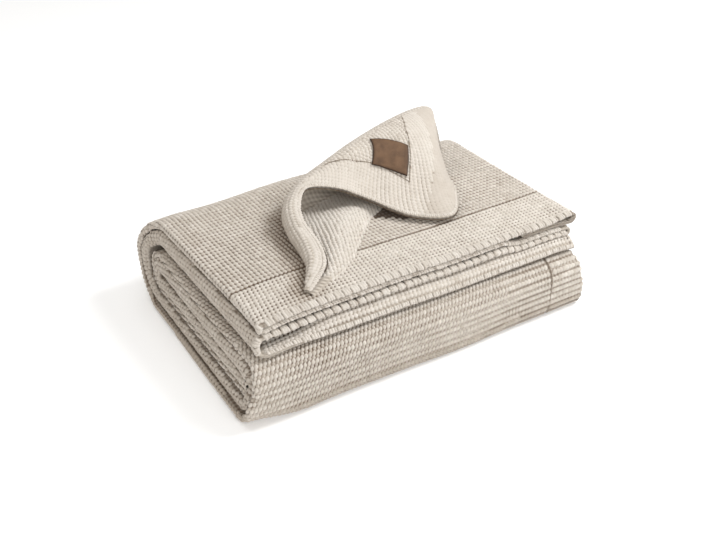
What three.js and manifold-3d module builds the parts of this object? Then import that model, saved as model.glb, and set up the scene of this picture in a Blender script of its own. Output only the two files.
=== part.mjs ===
import * as THREE from 'three';
import Module from 'manifold-3d';

// A knitted throw, folded in four across its width and wrapped along its length into a flat roll. One
// corner is turned up on top of the roll and shows its leather label. Millimetres, +Z up: X runs along
// the roll, Y from its front to its back, and it rests on Z = 0. Places are measured from the middle of
// the front hem's top edge.

// Driving sizes
const ROLL_HEIGHT = 105;
const HEM_MIDDLE = new THREE.Vector3(11.5, -119.25, ROLL_HEIGHT);
const SLIM_GAP = 0.8;
const HEM_FADE = 80;
const HEM_DROP = 4;
const TUCK_RAMP = 26;
const LOOSE_WIDTH = 85;
const LOOSE_RAMP = 60;
const RIGHT_INSET = 5;
const CORNER_CLOTH = 4.2;
const ROOT_LEVEL = -4;
const CORNER_BURY = -3.5;
const LABEL_THICKNESS = 1.6;
const LABEL_GAP = 0.55;

// The wrap, one row for each stretch from the front hem inwards: its straight length, or its radius and
// turn in degrees, the steps along it, and the stack where it starts. The stack has the cloth's
// thickness, the gaps under layers A, B and C, where the folds reach on the left and right, how wide
// the right border is tucked under layer A, and how far the fold of C and D sits inside the fold of A
// and B, or outside it where that is negative.
const WRAP = [
  { run: 'top', length: 213, radius: 0, turn: 0, steps: 6,
    cloth: 5.0, gapA: 0.9, gapB: 3.6, gapC: 9.5, left: -190, right: 196.5, tuck: 72, inset: -6 },
  { run: 'back', length: 0, radius: 52.5, turn: 90, steps: 5,
    cloth: 4.8, gapA: 0.9, gapB: 1.6, gapC: 8.0, left: -198, right: 196, tuck: 62, inset: -3 },
  { run: 'heel', length: 0, radius: 52.5, turn: 90, steps: 5,
    cloth: 4.3, gapA: 0.9, gapB: 1.4, gapC: 6.0, left: -214, right: 197, tuck: 54, inset: 2 },
  { run: 'floor', length: 213, radius: 0, turn: 0, steps: 3,
    cloth: 3.7, gapA: 0.8, gapB: 1.2, gapC: 5.0, left: -220.5, right: 198, tuck: 46, inset: 5 },
  { run: 'toe', length: 0, radius: 27, turn: 90, steps: 5,
    cloth: 3.7, gapA: 0.8, gapB: 1.2, gapC: 5.0, left: -222, right: 196, tuck: 40, inset: 6 },
  { run: 'front', length: 15.5, radius: 0, turn: 0, steps: 1,
    cloth: 4.2, gapA: 0.9, gapB: 1.2, gapC: 2.5, left: -218, right: 199, tuck: 34, inset: 6 },
  { run: 'brow', length: 0, radius: 27, turn: 90, steps: 5,
    cloth: 4.2, gapA: 0.9, gapB: 1.2, gapC: 2.5, left: -209, right: 194, tuck: 32, inset: 4 },
  { run: 'upper core', length: 207, radius: 0, turn: 0, steps: 2,
    cloth: 3.9, gapA: 0.8, gapB: 1.2, gapC: 6.5, left: -203, right: 187, tuck: 30, inset: -4 },
  { run: 'core turn', length: 0, radius: 23.4, turn: 180, steps: 6,
    cloth: 3.3, gapA: 0.6, gapB: 0.8, gapC: 6.0, left: -208, right: 188, tuck: 26, inset: -1 },
  { run: 'lower core', length: 208, radius: 0, turn: 0, steps: 2,
    cloth: 3.3, gapA: 0.6, gapB: 0.8, gapC: 6.0, left: -211, right: 189, tuck: 24, inset: 1 },
  { run: 'inner hem', length: 0, radius: 0, turn: 0, steps: 0,
    cloth: 3.5, gapA: 0.7, gapB: 1.0, gapC: 5.0, left: -211, right: 190, tuck: 22, inset: 2 },
];

// How far each layer's front hem stands back from the hem of layer A, and the share of the hem's drop
// it follows.
const LAYERS = {
  tuck: { ease: 6, drop: 1 },
  A: { ease: 0, drop: 1 },
  B: { ease: 3, drop: 1 },
  C: { ease: -2, drop: 1 },
  D: { ease: -12, drop: 0 },
};
const LAYER_STEPS = 4;
const FOLD_STEPS = 4;

// The turned-up corner, one row for each section from its foot near the front hem, along its crown and
// round to its right end: the crown's top, the hem that hangs from it, the depth of the bend behind the
// crown, where the lower arm sinks into the layer under it, and the height of the hump in that arm.
const CORNER = [
  { row: 'foot', crown: [-129, 18, 3.6], hem: [-126, 15.5, 2.9], depth: 2, root: [-123, 10], hump: 0 },
  { row: 'low', crown: [-101, 49, 13], hem: [-91, 40, 10], depth: 6, root: [-84, 31], hump: 3 },
  { row: 'bend', crown: [-97, 74, 18], hem: [-86, 72, 15], depth: 8, root: [-62, 46], hump: 7 },
  { row: 'middle', crown: [-90, 108, 23], hem: [-82, 107, 21], depth: 9, root: [-42, 65], hump: 11 },
  { row: 'high', crown: [-78, 136, 29], hem: [-72, 133, 27], depth: 11, root: [-21, 86], hump: 12 },
  { row: 'shoulder', crown: [-54, 154, 38], hem: [-56, 147, 34], depth: 14, root: [-2, 106], hump: 10 },
  { row: 'arch', crown: [-14, 167, 46], hem: [-25, 135, 30], depth: 16, root: [22, 120], hump: 6 },
  { row: 'ridge', crown: [30, 181, 53], hem: [2, 122, 17], depth: 18, root: [52, 135], hump: 2 },
  { row: 'peak', crown: [70, 191, 58], hem: [34, 80, 6], depth: 20, root: [84, 150], hump: 0 },
  { row: 'tip', crown: [100, 197, 61], hem: [73, 58, 5], depth: 21, root: [108, 162], hump: 0 },
  { row: 'turn', crown: [120, 200, 62], hem: [107, 97, 5], depth: 22, root: [122, 170], hump: 0 },
  { row: 'rise', crown: [132, 201, 62], hem: [122, 137, 7], depth: 22, root: [131, 176], hump: 0 },
  { row: 'end', crown: [140, 202, 60], hem: [137, 183, 46], depth: 22, root: [138, 180], hump: 0 },
];
const ROW_STEPS = 3;
const CROWN_SHARE = 0.5;
const BEND_SHARE = 0.8;
const SHARES = [0, 0.1, 0.2, 0.3, 0.4, 0.5, 0.55, 0.6, 0.65, 0.7, 0.75, 0.8, 0.87, 0.92, 0.96, 1];
const HUMP_LEAN = 2.6;
const FACE_LEAN = 0.45;
const FACE_LIFT = 0.1;
const FACE_CROWN = 0.4;
const BEND_FOOT = 1;
const FOOT_THINNING = { least: 0.35, rows: 1.5 };
const LAST_ROW = CORNER.length - 1;

// The label's four corners on the turned-up corner: the row it lies on, and its share of the way from
// hem to root.
const LABEL = [
  { corner: 'upper left', row: 7.22, share: 0.452 },
  { corner: 'upper right', row: 8.22, share: 0.338 },
  { corner: 'lower right', row: 8.06, share: 0.193 },
  { corner: 'lower left', row: 7.1, share: 0.255 },
];
const LABEL_STEPS = 6;

const { lerp, clamp, smoothstep, degToRad } = THREE.MathUtils;

// Walks the wrap's outer face and returns the place, the inward normal and the stack at a distance from
// the hem.
function wrapAt(distance) {
  let y = 0;
  let z = 0;
  let heading = 0;
  let left = distance;
  for (let i = 0; i < WRAP.length - 1; i += 1) {
    const row = WRAP[i];
    const bend = degToRad(row.turn);
    const length = row.length + row.radius * bend;
    const last = i === WRAP.length - 2;
    const along = last || left < length ? left : length;
    const turned = row.radius > 0 ? along / row.radius : 0;
    const end = heading - turned;
    if (row.radius > 0) {
      y += row.radius * (Math.sin(heading) - Math.sin(end));
      z += row.radius * (Math.cos(end) - Math.cos(heading));
    } else {
      y += along * Math.cos(heading);
      z += along * Math.sin(heading);
    }
    heading = end;
    if (last || left < length) {
      const share = smoothstep(along, 0, length);
      const stack = {};
      for (const key of ['cloth', 'gapA', 'gapB', 'gapC', 'left', 'right', 'tuck', 'inset']) {
        stack[key] = lerp(row[key], WRAP[i + 1][key], share);
      }
      return { y, z, normalY: Math.sin(heading), normalZ: -Math.cos(heading), stack };
    }
    left -= length;
  }
  return null;
}

// The depths of the layers' middles under the outer face, at the left folds, from there to the tucked
// border, and over it. Layer D is loose at its left fold and lies close under C from there on, but sags at
// the hem.
function layerLevels(stack) {
  const { cloth, gapA, gapB, gapC, sag } = stack;
  const a = cloth / 2;
  const tuck = a + cloth + gapA;
  const even = (left, right) => ({ left, middle: left, right });
  const b = even(tuck, tuck + cloth + gapA);
  const c = even(b.left + cloth + gapB, b.right + cloth + SLIM_GAP);
  const loose = c.left + cloth + gapC;
  const close = c.right + cloth + SLIM_GAP;
  const d = {
    left: loose,
    middle: lerp(Math.min(loose, close), loose, sag),
    right: lerp(close, Math.max(loose, close), sag),
  };
  return { A: even(a, a), tuck: even(tuck, tuck), B: b, C: c, D: d };
}

// The middle of the cloth across the stack, from the tucked border's edge back and forth to the edge of
// layer D.
function foldedMiddle(stack) {
  const level = layerLevels(stack);
  const rampEnd = stack.right - stack.tuck - 4;
  const rampStart = rampEnd - TUCK_RAMP;
  const looseEnd = stack.left + LOOSE_WIDTH;
  const looseStart = looseEnd - LOOSE_RAMP;
  const depth = (name, x) => {
    const { left, middle, right } = level[name];
    const near = lerp(left, middle, smoothstep(x, looseStart, looseEnd));
    return lerp(near, right, smoothstep(x, rampStart, rampEnd));
  };
  const points = [];
  const layer = (name, from, to) => {
    for (let i = 0; i <= LAYER_STEPS; i += 1) {
      const x = lerp(from, to, i / LAYER_STEPS);
      points.push({ x, depth: depth(name, x), ...LAYERS[name] });
    }
  };
  const bentLayer = (name, from, to, more = []) => {
    const ramp = [rampStart, (rampStart + rampEnd) / 2, rampEnd];
    const stops = [from, ...more, ...ramp, to].sort((p, q) => p - q);
    const ordered = from < to ? stops : stops.reverse();
    for (const x of ordered) {
      points.push({ x, depth: depth(name, x), ...LAYERS[name] });
    }
  };
  const fold = (upper, lower, centre, side) => {
    const from = depth(upper, centre);
    const to = depth(lower, centre);
    for (let i = 1; i < FOLD_STEPS; i += 1) {
      const angle = (Math.PI * i) / FOLD_STEPS;
      const share = i / FOLD_STEPS;
      points.push({
        x: centre + side * (Math.abs(to - from) / 2) * Math.sin(angle),
        depth: (from + to) / 2 + ((from - to) / 2) * Math.cos(angle),
        ease: lerp(LAYERS[upper].ease, LAYERS[lower].ease, share),
        drop: lerp(LAYERS[upper].drop, LAYERS[lower].drop, share),
      });
    }
  };
  const half = stack.cloth / 2;
  const centreOf = (edge, side, upper, lower) => {
    const end = side > 0 ? 'right' : 'left';
    return edge - side * (Math.abs(level[upper][end] - level[lower][end]) / 2 + half);
  };
  const tuckFold = centreOf(stack.right, 1, 'tuck', 'A');
  const outerFold = centreOf(stack.left, -1, 'A', 'B');
  const rightFold = centreOf(stack.right - RIGHT_INSET, 1, 'B', 'C');
  const innerFold = centreOf(stack.left + stack.inset, -1, 'C', 'D');
  layer('tuck', stack.right - stack.tuck, tuckFold);
  fold('tuck', 'A', tuckFold, 1);
  layer('A', tuckFold, outerFold);
  fold('A', 'B', outerFold, -1);
  bentLayer('B', outerFold, rightFold);
  fold('B', 'C', rightFold, 1);
  bentLayer('C', rightFold, innerFold);
  fold('C', 'D', innerFold, -1);
  const loose = [looseStart, (looseStart + looseEnd) / 2, looseEnd];
  bentLayer('D', innerFold, stack.right - RIGHT_INSET - half, loose);
  return points;
}

// The closed outline of the folded cloth: its middle moved half a thickness to one side, then back on
// the other.
function foldedOutline(stack) {
  const middle = foldedMiddle(stack);
  const half = stack.cloth / 2;
  const side = (sign) => middle.map((point, i) => {
    const before = middle[Math.max(i - 1, 0)];
    const after = middle[Math.min(i + 1, middle.length - 1)];
    const dx = after.x - before.x;
    const dd = after.depth - before.depth;
    const length = Math.hypot(dx, dd);
    const shift = (sign * half) / length;
    return { ...point, x: point.x - shift * dd, depth: point.depth + shift * dx };
  });
  return [...side(1), ...side(-1).reverse()];
}

// Distances from the front hem at which the folded section is placed.
function wrapStations() {
  const stations = [0];
  let start = 0;
  for (const row of WRAP) {
    const length = row.length + row.radius * degToRad(row.turn);
    for (let i = 1; i <= row.steps; i += 1) {
      stations.push(start + (length * i) / row.steps);
    }
    start += length;
  }
  return stations;
}

// 1 at the front hem, falling to 0 behind it.
function hemFade(station) {
  return clamp(1 - station / HEM_FADE, 0, 1);
}

// Puts a point of the folded section in space, with its hem's stand-back and the drop at the hem's left
// end.
function sectionPoint(point, station) {
  const fade = hemFade(station);
  const place = wrapAt(station + point.ease * fade);
  const drop = point.drop * HEM_DROP * fade * (Math.min(point.x, 0) / WRAP[0].left) ** 4;
  const inward = point.depth + drop;
  return [point.x, place.y + place.normalY * inward, place.z + place.normalZ * inward];
}

// The wrapped cloth: the folded section swept from the front hem to the inner hem, closed at both.
function wrappedCloth() {
  const stations = wrapStations();
  const outlines = stations.map((station) =>
    foldedOutline({ ...wrapAt(station).stack, sag: hemFade(station) ** 4 }));
  const count = outlines[0].length;
  const positions = [];
  const indices = [];
  outlines.forEach((outline, k) => {
    outline.forEach((point) => positions.push(...sectionPoint(point, stations[k])));
  });
  for (let k = 0; k < stations.length - 1; k += 1) {
    for (let j = 0; j < count; j += 1) {
      const next = (j + 1) % count;
      const a = k * count + j;
      const b = k * count + next;
      indices.push(a, a + count, b, b, a + count, b + count);
    }
  }
  // At both hems a strip across the cloth's thickness closes the section from one edge of the cloth to
  // the other.
  const last = (stations.length - 1) * count;
  for (let j = 0; j < count / 2 - 1; j += 1) {
    const opposite = count - 1 - j;
    indices.push(j, j + 1, opposite, j + 1, opposite - 1, opposite);
    indices.push(last + j, last + opposite, last + j + 1);
    indices.push(last + j + 1, last + opposite, last + opposite - 1);
  }
  return { positions, indices };
}

// A row of the turned-up corner between two rows of the table, on a smooth curve through them.
function cornerRow(t) {
  const i = Math.min(Math.floor(t), LAST_ROW - 1);
  const f = t - i;
  const [p, q, r, s] = [i - 1, i, i + 1, i + 2].map((k) => CORNER[clamp(k, 0, LAST_ROW)]);
  const curve = (a, b, c, d) =>
    b + 0.5 * f * (c - a + f * (2 * a - 5 * b + 4 * c - d + f * (3 * (b - c) + d - a)));
  const vector = (key) => q[key].map((_, n) => curve(p[key][n], q[key][n], r[key][n], s[key][n]));
  const number = (key) => curve(p[key], q[key], r[key], s[key]);
  return {
    crown: new THREE.Vector3(...vector('crown')),
    hem: new THREE.Vector3(...vector('hem')),
    root: new THREE.Vector3(...vector('root'), ROOT_LEVEL),
    depth: number('depth'),
    hump: number('hump'),
  };
}

// A point of the turned-up corner's middle: from the hem over the crown, round the bend, to the root.
function cornerPoint(t, share) {
  const { crown, hem, root, depth, hump } = cornerRow(t);
  const ahead = cornerRow(Math.min(t + 0.1, LAST_ROW)).crown;
  const behind = cornerRow(Math.max(t - 0.1, 0)).crown;
  const back = new THREE.Vector3(behind.y - ahead.y, ahead.x - behind.x, 0).normalize();
  if (share <= CROWN_SHARE) {
    const span = Math.hypot(hem.x - crown.x, hem.y - crown.y);
    const low = hem.clone().lerp(crown, FACE_LEAN);
    low.z = lerp(hem.z, crown.z, FACE_LIFT);
    const high = crown.clone().addScaledVector(back, -FACE_CROWN * span);
    return new THREE.CubicBezierCurve3(hem, low, high, crown).getPoint(share / CROWN_SHARE);
  }
  const foot = new THREE.Vector3(crown.x, crown.y, BEND_FOOT);
  if (share <= BEND_SHARE) {
    const angle = (Math.PI * (share - CROWN_SHARE)) / (BEND_SHARE - CROWN_SHARE);
    const point = crown.clone().addScaledVector(back, depth * Math.sin(angle));
    point.z = lerp(crown.z, foot.z, (1 - Math.cos(angle)) / 2);
    return point;
  }
  const f = (share - BEND_SHARE) / (1 - BEND_SHARE);
  const point = foot.clone().lerp(root, f);
  point.z = lerp(foot.z, root.z, f ** 4) + hump * Math.sin(Math.PI * f ** HUMP_LEAN) ** 2;
  return point;
}

// The turned-up corner's outward normal, up on its face and back on its bend.
function cornerNormal(t, share) {
  const step = 0.01;
  const before = cornerPoint(Math.max(t - step, 0), share);
  const after = cornerPoint(Math.min(t + step, LAST_ROW), share);
  const outside = cornerPoint(t, Math.max(share - step, 0));
  const inside = cornerPoint(t, Math.min(share + step, 1));
  return after.sub(before).cross(inside.sub(outside)).normalize();
}

// A closed sheet between two grids of points, given as functions of the column and row.
function closedSheet(columns, rows, outer, inner) {
  const positions = [];
  const indices = [];
  for (const side of [outer, inner]) {
    for (let i = 0; i < columns; i += 1) {
      for (let j = 0; j < rows; j += 1) {
        positions.push(...side(i, j).toArray());
      }
    }
  }
  const at = (side, i, j) => side * columns * rows + i * rows + j;
  const quad = (a, b, c, d) => indices.push(a, b, c, a, c, d);
  for (let i = 0; i < columns - 1; i += 1) {
    for (let j = 0; j < rows - 1; j += 1) {
      quad(at(0, i, j), at(0, i + 1, j), at(0, i + 1, j + 1), at(0, i, j + 1));
      quad(at(1, i, j), at(1, i, j + 1), at(1, i + 1, j + 1), at(1, i + 1, j));
    }
  }
  for (let i = 0; i < columns - 1; i += 1) {
    quad(at(0, i, 0), at(1, i, 0), at(1, i + 1, 0), at(0, i + 1, 0));
    quad(at(0, i + 1, rows - 1), at(1, i + 1, rows - 1), at(1, i, rows - 1), at(0, i, rows - 1));
  }
  for (let j = 0; j < rows - 1; j += 1) {
    quad(at(0, 0, j + 1), at(1, 0, j + 1), at(1, 0, j), at(0, 0, j));
    const end = columns - 1;
    quad(at(0, end, j), at(1, end, j), at(1, end, j + 1), at(0, end, j + 1));
  }
  return { positions, indices };
}

// The turned-up corner as a sheet that thins towards its foot. Its lower arm is filled down into the
// layer under it.
function turnedCorner() {
  const columns = LAST_ROW * ROW_STEPS + 1;
  const side = (sign) => (i, j) => {
    const t = i / ROW_STEPS;
    const share = SHARES[j];
    const thinning = lerp(FOOT_THINNING.least, 1, clamp(t / FOOT_THINNING.rows, 0, 1));
    const half = (CORNER_CLOTH / 2) * thinning;
    const point = cornerPoint(t, share);
    if (sign > 0 && share > BEND_SHARE) {
      return point.setZ(CORNER_BURY);
    }
    return point.addScaledVector(cornerNormal(t, share), sign * half);
  };
  return closedSheet(columns, SHARES.length, side(1), side(-1));
}

// The label, a square patch that follows the turned-up corner's face just above it.
function labelPatch() {
  const [upperLeft, upperRight, lowerRight, lowerLeft] = LABEL;
  const place = (key, u, w) =>
    lerp(lerp(lowerLeft[key], lowerRight[key], u), lerp(upperLeft[key], upperRight[key], u), w);
  const side = (lift) => (i, j) => {
    const t = place('row', i / LABEL_STEPS, j / LABEL_STEPS);
    const share = place('share', i / LABEL_STEPS, j / LABEL_STEPS);
    return cornerPoint(t, share).addScaledVector(cornerNormal(t, share), lift);
  };
  const under = CORNER_CLOTH / 2 + LABEL_GAP;
  return closedSheet(LABEL_STEPS + 1, LABEL_STEPS + 1, side(under + LABEL_THICKNESS), side(under));
}

function toGeometry({ positions, indices }) {
  const geometry = new THREE.BufferGeometry();
  geometry.setAttribute('position', new THREE.Float32BufferAttribute(positions, 3));
  geometry.setIndex(Array.from(indices));
  return geometry;
}

const wasm = await Module();
wasm.setup();

function toSolid({ positions, indices }) {
  return new wasm.Manifold(new wasm.Mesh({
    numProp: 3,
    vertProperties: new Float32Array(positions),
    triVerts: new Uint32Array(indices),
  }));
}

const joined = toSolid(wrappedCloth()).add(toSolid(turnedCorner())).getMesh();

const blanket = new THREE.Mesh(
  toGeometry({ positions: Array.from(joined.vertProperties), indices: joined.triVerts }),
  new THREE.MeshStandardMaterial({ color: 0xd8ccba, roughness: 0.95, metalness: 0 }),
);
blanket.name = 'blanket';

const label = new THREE.Mesh(
  toGeometry(labelPatch()),
  new THREE.MeshStandardMaterial({ color: 0x8a6148, roughness: 0.6, metalness: 0 }),
);
label.name = 'label';

const throwBlanket = new THREE.Group();
throwBlanket.add(blanket, label);
throwBlanket.position.copy(HEM_MIDDLE);

export default throwBlanket;
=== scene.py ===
"""Looks of the folded knitted blanket: its cloth, stitches, hems, turned-up corner and bare label.

Sizes are in millimetres, from the middle of the front hem's top edge. They are moved to the shared
frame, in metres, when a mesh is made.
"""

from __future__ import annotations

import logging
import math
from collections.abc import Callable
from dataclasses import dataclass, field, fields, replace
from enum import Enum

import bpy
import numpy as np
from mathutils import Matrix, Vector

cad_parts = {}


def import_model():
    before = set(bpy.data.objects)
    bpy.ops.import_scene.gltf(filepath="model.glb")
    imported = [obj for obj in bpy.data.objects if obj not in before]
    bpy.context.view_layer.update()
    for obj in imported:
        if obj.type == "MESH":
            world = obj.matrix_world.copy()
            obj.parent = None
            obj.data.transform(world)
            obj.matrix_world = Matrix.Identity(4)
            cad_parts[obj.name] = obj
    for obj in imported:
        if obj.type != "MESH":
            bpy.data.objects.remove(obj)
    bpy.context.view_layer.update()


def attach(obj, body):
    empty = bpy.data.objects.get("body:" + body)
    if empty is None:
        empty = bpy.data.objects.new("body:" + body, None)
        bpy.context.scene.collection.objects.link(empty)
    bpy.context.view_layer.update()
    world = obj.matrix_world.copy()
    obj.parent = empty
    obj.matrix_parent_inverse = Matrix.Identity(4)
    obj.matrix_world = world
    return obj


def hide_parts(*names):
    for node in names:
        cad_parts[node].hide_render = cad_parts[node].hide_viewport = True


log = logging.getLogger("blanket")

MM = 0.001
# Where the middle of the front hem's top edge lies in the shared frame.
HEM_MIDDLE = np.array((11.5, -119.25, 105.0))
SEED = 11
# Half of the length over which directions on the cloth are taken.
STEP = 0.5
# Places above this level lie on the top face.
TOP_LEVEL = -12.0


class Side(Enum):
    """The two faces of the cloth."""

    OUTER = 1.0
    INNER = -1.0


class Part(Enum):
    """The stretches of the folded section, from the tucked border to the last layer's edge."""

    TUCK = 0
    TUCK_FOLD = 1
    A = 2
    OUTER_FOLD = 3
    B = 4
    RIGHT_FOLD = 5
    C = 6
    INNER_FOLD = 7
    D = 8


@dataclass(frozen=True)
class Run:
    """A stretch of the wrap, and the stack of layers at its start."""

    name: str
    length: float
    radius: float
    turn: float
    steps: int
    cloth: float
    gap_a: float
    gap_b: float
    gap_c: float
    left: float
    right: float
    tuck: float
    inset: float

    @property
    def distance(self) -> float:
        """Length along the wrap's outer face."""
        return self.length + self.radius * math.radians(self.turn)


@dataclass(frozen=True)
class Layer:
    """How far a layer's front hem stands back, and its share of the drop at the hem's left end."""

    ease: float
    drop: float


WRAP = (
    Run("top", 213, 0, 0, 48, 5.0, 0.9, 3.6, 9.5, -190, 196.5, 72, -6),
    Run("back", 0, 52.5, 90, 16, 4.8, 0.9, 1.6, 8.0, -198, 196, 62, -3),
    Run("heel", 0, 52.5, 90, 16, 4.3, 0.9, 1.4, 6.0, -214, 197, 54, 2),
    Run("floor", 213, 0, 0, 12, 3.7, 0.8, 1.2, 5.0, -220.5, 198, 46, 5),
    Run("toe", 0, 27, 90, 12, 3.7, 0.8, 1.2, 5.0, -222, 196, 40, 6),
    Run("front", 15.5, 0, 0, 4, 4.2, 0.9, 1.2, 2.5, -218, 199, 34, 6),
    Run("brow", 0, 27, 90, 12, 4.2, 0.9, 1.2, 2.5, -209, 194, 32, 4),
    Run("upper core", 207, 0, 0, 14, 3.9, 0.8, 1.2, 6.5, -203, 187, 30, -4),
    Run("core turn", 0, 23.4, 180, 14, 3.3, 0.6, 0.8, 6.0, -208, 188, 26, -1),
    Run("lower core", 211, 0, 0, 10, 3.3, 0.6, 0.8, 6.0, -211, 189, 24, 1),
    Run("inner hem", 0, 0, 0, 0, 3.5, 0.7, 1.0, 5.0, -211, 190, 22, 2),
)
LAYERS = {
    Part.TUCK: Layer(0.5, 1),
    Part.A: Layer(0, 1),
    Part.B: Layer(-0.5, 1),
    Part.C: Layer(-2.5, 1),
    Part.D: Layer(-12, 0),
}


def smooth(value: np.ndarray, low: float, high: float) -> np.ndarray:
    """A soft step from 0 at low to 1 at high."""
    share = np.clip((np.asarray(value, float) - low) / (high - low), 0.0, 1.0)
    return share * share * (3.0 - 2.0 * share)


def within(place: np.ndarray, outline: tuple[tuple[float, float], ...]) -> np.ndarray:
    """Whether places on the top face lie inside an outline in plan.

    Args:
        place: Places, one a row.
        outline: Corners in X and Y, which run clockwise.

    Returns:
        True for each place inside.
    """
    inside = place[:, 2] > TOP_LEVEL
    for (x, y), (end_x, end_y) in zip(outline, outline[1:] + outline[:1]):
        inside &= (end_x - x) * (place[:, 1] - y) < (end_y - y) * (place[:, 0] - x)
    return inside


def unit(vectors: np.ndarray) -> np.ndarray:
    """The vectors, one a row, with length 1."""
    return vectors / np.maximum(np.linalg.norm(vectors, axis=-1, keepdims=True), 1e-9)


def travel(line: np.ndarray) -> np.ndarray:
    """Lengths from the first of a row of places to each of them."""
    return np.concatenate(([0.0], np.cumsum(np.linalg.norm(np.diff(line, axis=0), axis=1))))


@dataclass
class Spots:
    """Points on the cloth with the frame in which a stitch sits there.

    Fields hold one row for each stitch: its place, the cloth's outward normal, the direction in which
    the stitch is laid, its half width, half length and height, and its tone from 0 to 1.
    """

    place: np.ndarray
    normal: np.ndarray
    along: np.ndarray
    size: np.ndarray
    tone: np.ndarray

    @classmethod
    def join(cls, groups: list[Spots]) -> Spots:
        """All the stitches of several groups in one."""
        columns = {f.name: np.concatenate([getattr(g, f.name) for g in groups]) for f in fields(cls)}
        return cls(**columns)

    def kept(self, keep: np.ndarray) -> Spots:
        """The stitches for which keep is true."""
        return Spots(**{f.name: getattr(self, f.name)[keep] for f in fields(self)})


@dataclass(frozen=True)
class Stitch:
    """The pitch and the shape of one kind of knitting.

    Fields are the pitch across the wales and along the wrap, the bump's width and length as shares of
    those pitches, its height in millimetres, the lean in degrees, the mean tone and its spread, the
    shift from row to row as a share of the pitch, and the share of the rise at which rows start.
    """

    pitch: float
    rise: float
    width: float
    length: float
    height: float
    lean: float
    tone: float = 0.55
    spread: float = 0.12
    shift: float = 0.3
    start: float = 0.0

    def spots(
        self, place: np.ndarray, across: np.ndarray, normal: np.ndarray, noise: np.random.Generator
    ) -> Spots:
        """Stitches of this kind at the given places.

        Args:
            place: Places on the cloth, one a row.
            across: Directions across the wales at those places.
            normal: Outward normals at those places.
            noise: Source of the small differences between stitches.

        Returns:
            The stitches, leaning and a little uneven.
        """
        count = len(place)
        angle = np.radians(self.lean + noise.normal(0.0, 4.0, count))[:, None]
        turned = across * np.cos(angle) + np.cross(normal, across) * np.sin(angle)
        half = np.array((self.pitch * self.width / 2, self.rise * self.length / 2, self.height))
        size = half * (1.0 + noise.normal(0.0, 0.05, (count, 3)))
        tone = np.clip(self.tone + noise.normal(0.0, self.spread, count), 0.0, 1.0)
        return Spots(place, normal, turned, size, tone)


class Knit(Enum):
    """Kinds of knitting on the blanket."""

    FIELD = Stitch(4.75, 5.75, 1.06, 1.06, 1.7, 16.0, 0.5, 0.1, 0.04)
    RIDGE = Stitch(4.4, 7.6, 0.92, 0.76, 1.8, -26.0, 0.6, 0.1, 0.1)
    STRIPE = Stitch(4.4, 7.6, 1.14, 0.72, 1.8, -20.0, 0.56, 0.1, 0.1)
    # The valley stitches' low tone paints the shade between the front's ridges.
    VALLEY = Stitch(4.4, 7.6, 0.76, 0.5, 1.1, -26.0, 0.22, 0.1, 0.1, 0.5)
    DOTTED = Stitch(4.65, 5.2, 1.1, 1.1, 1.2, 0.0, 0.72)
    BORDER = Stitch(4.45, 4.9, 1.16, 1.16, 1.4, 12.0, 0.64, 0.1, -0.15)
    EDGE = Stitch(4.3, 7.6, 1.5, 0.76, 1.7, 3.0, 0.48)
    FOLD = Stitch(4.4, 5.6, 1.04, 1.02, 1.3, 16.0, 0.36, 0.1)
    RIB = Stitch(4.2, 4.2, 1.08, 1.6, 0.7, 5.0, 0.55, 0.04)
    RIB_FIELD = Stitch(4.4, 4.2, 1.02, 1.25, 1.3, 12.0, 0.54, 0.08)
    PLAIN = Stitch(4.0, 4.2, 1.3, 1.7, 0.4, 4.0, 0.25, 0.03)
    INSIDE = Stitch(4.2, 4.2, 1.04, 1.5, 1.1, 6.0, 0.72, 0.06)


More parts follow.
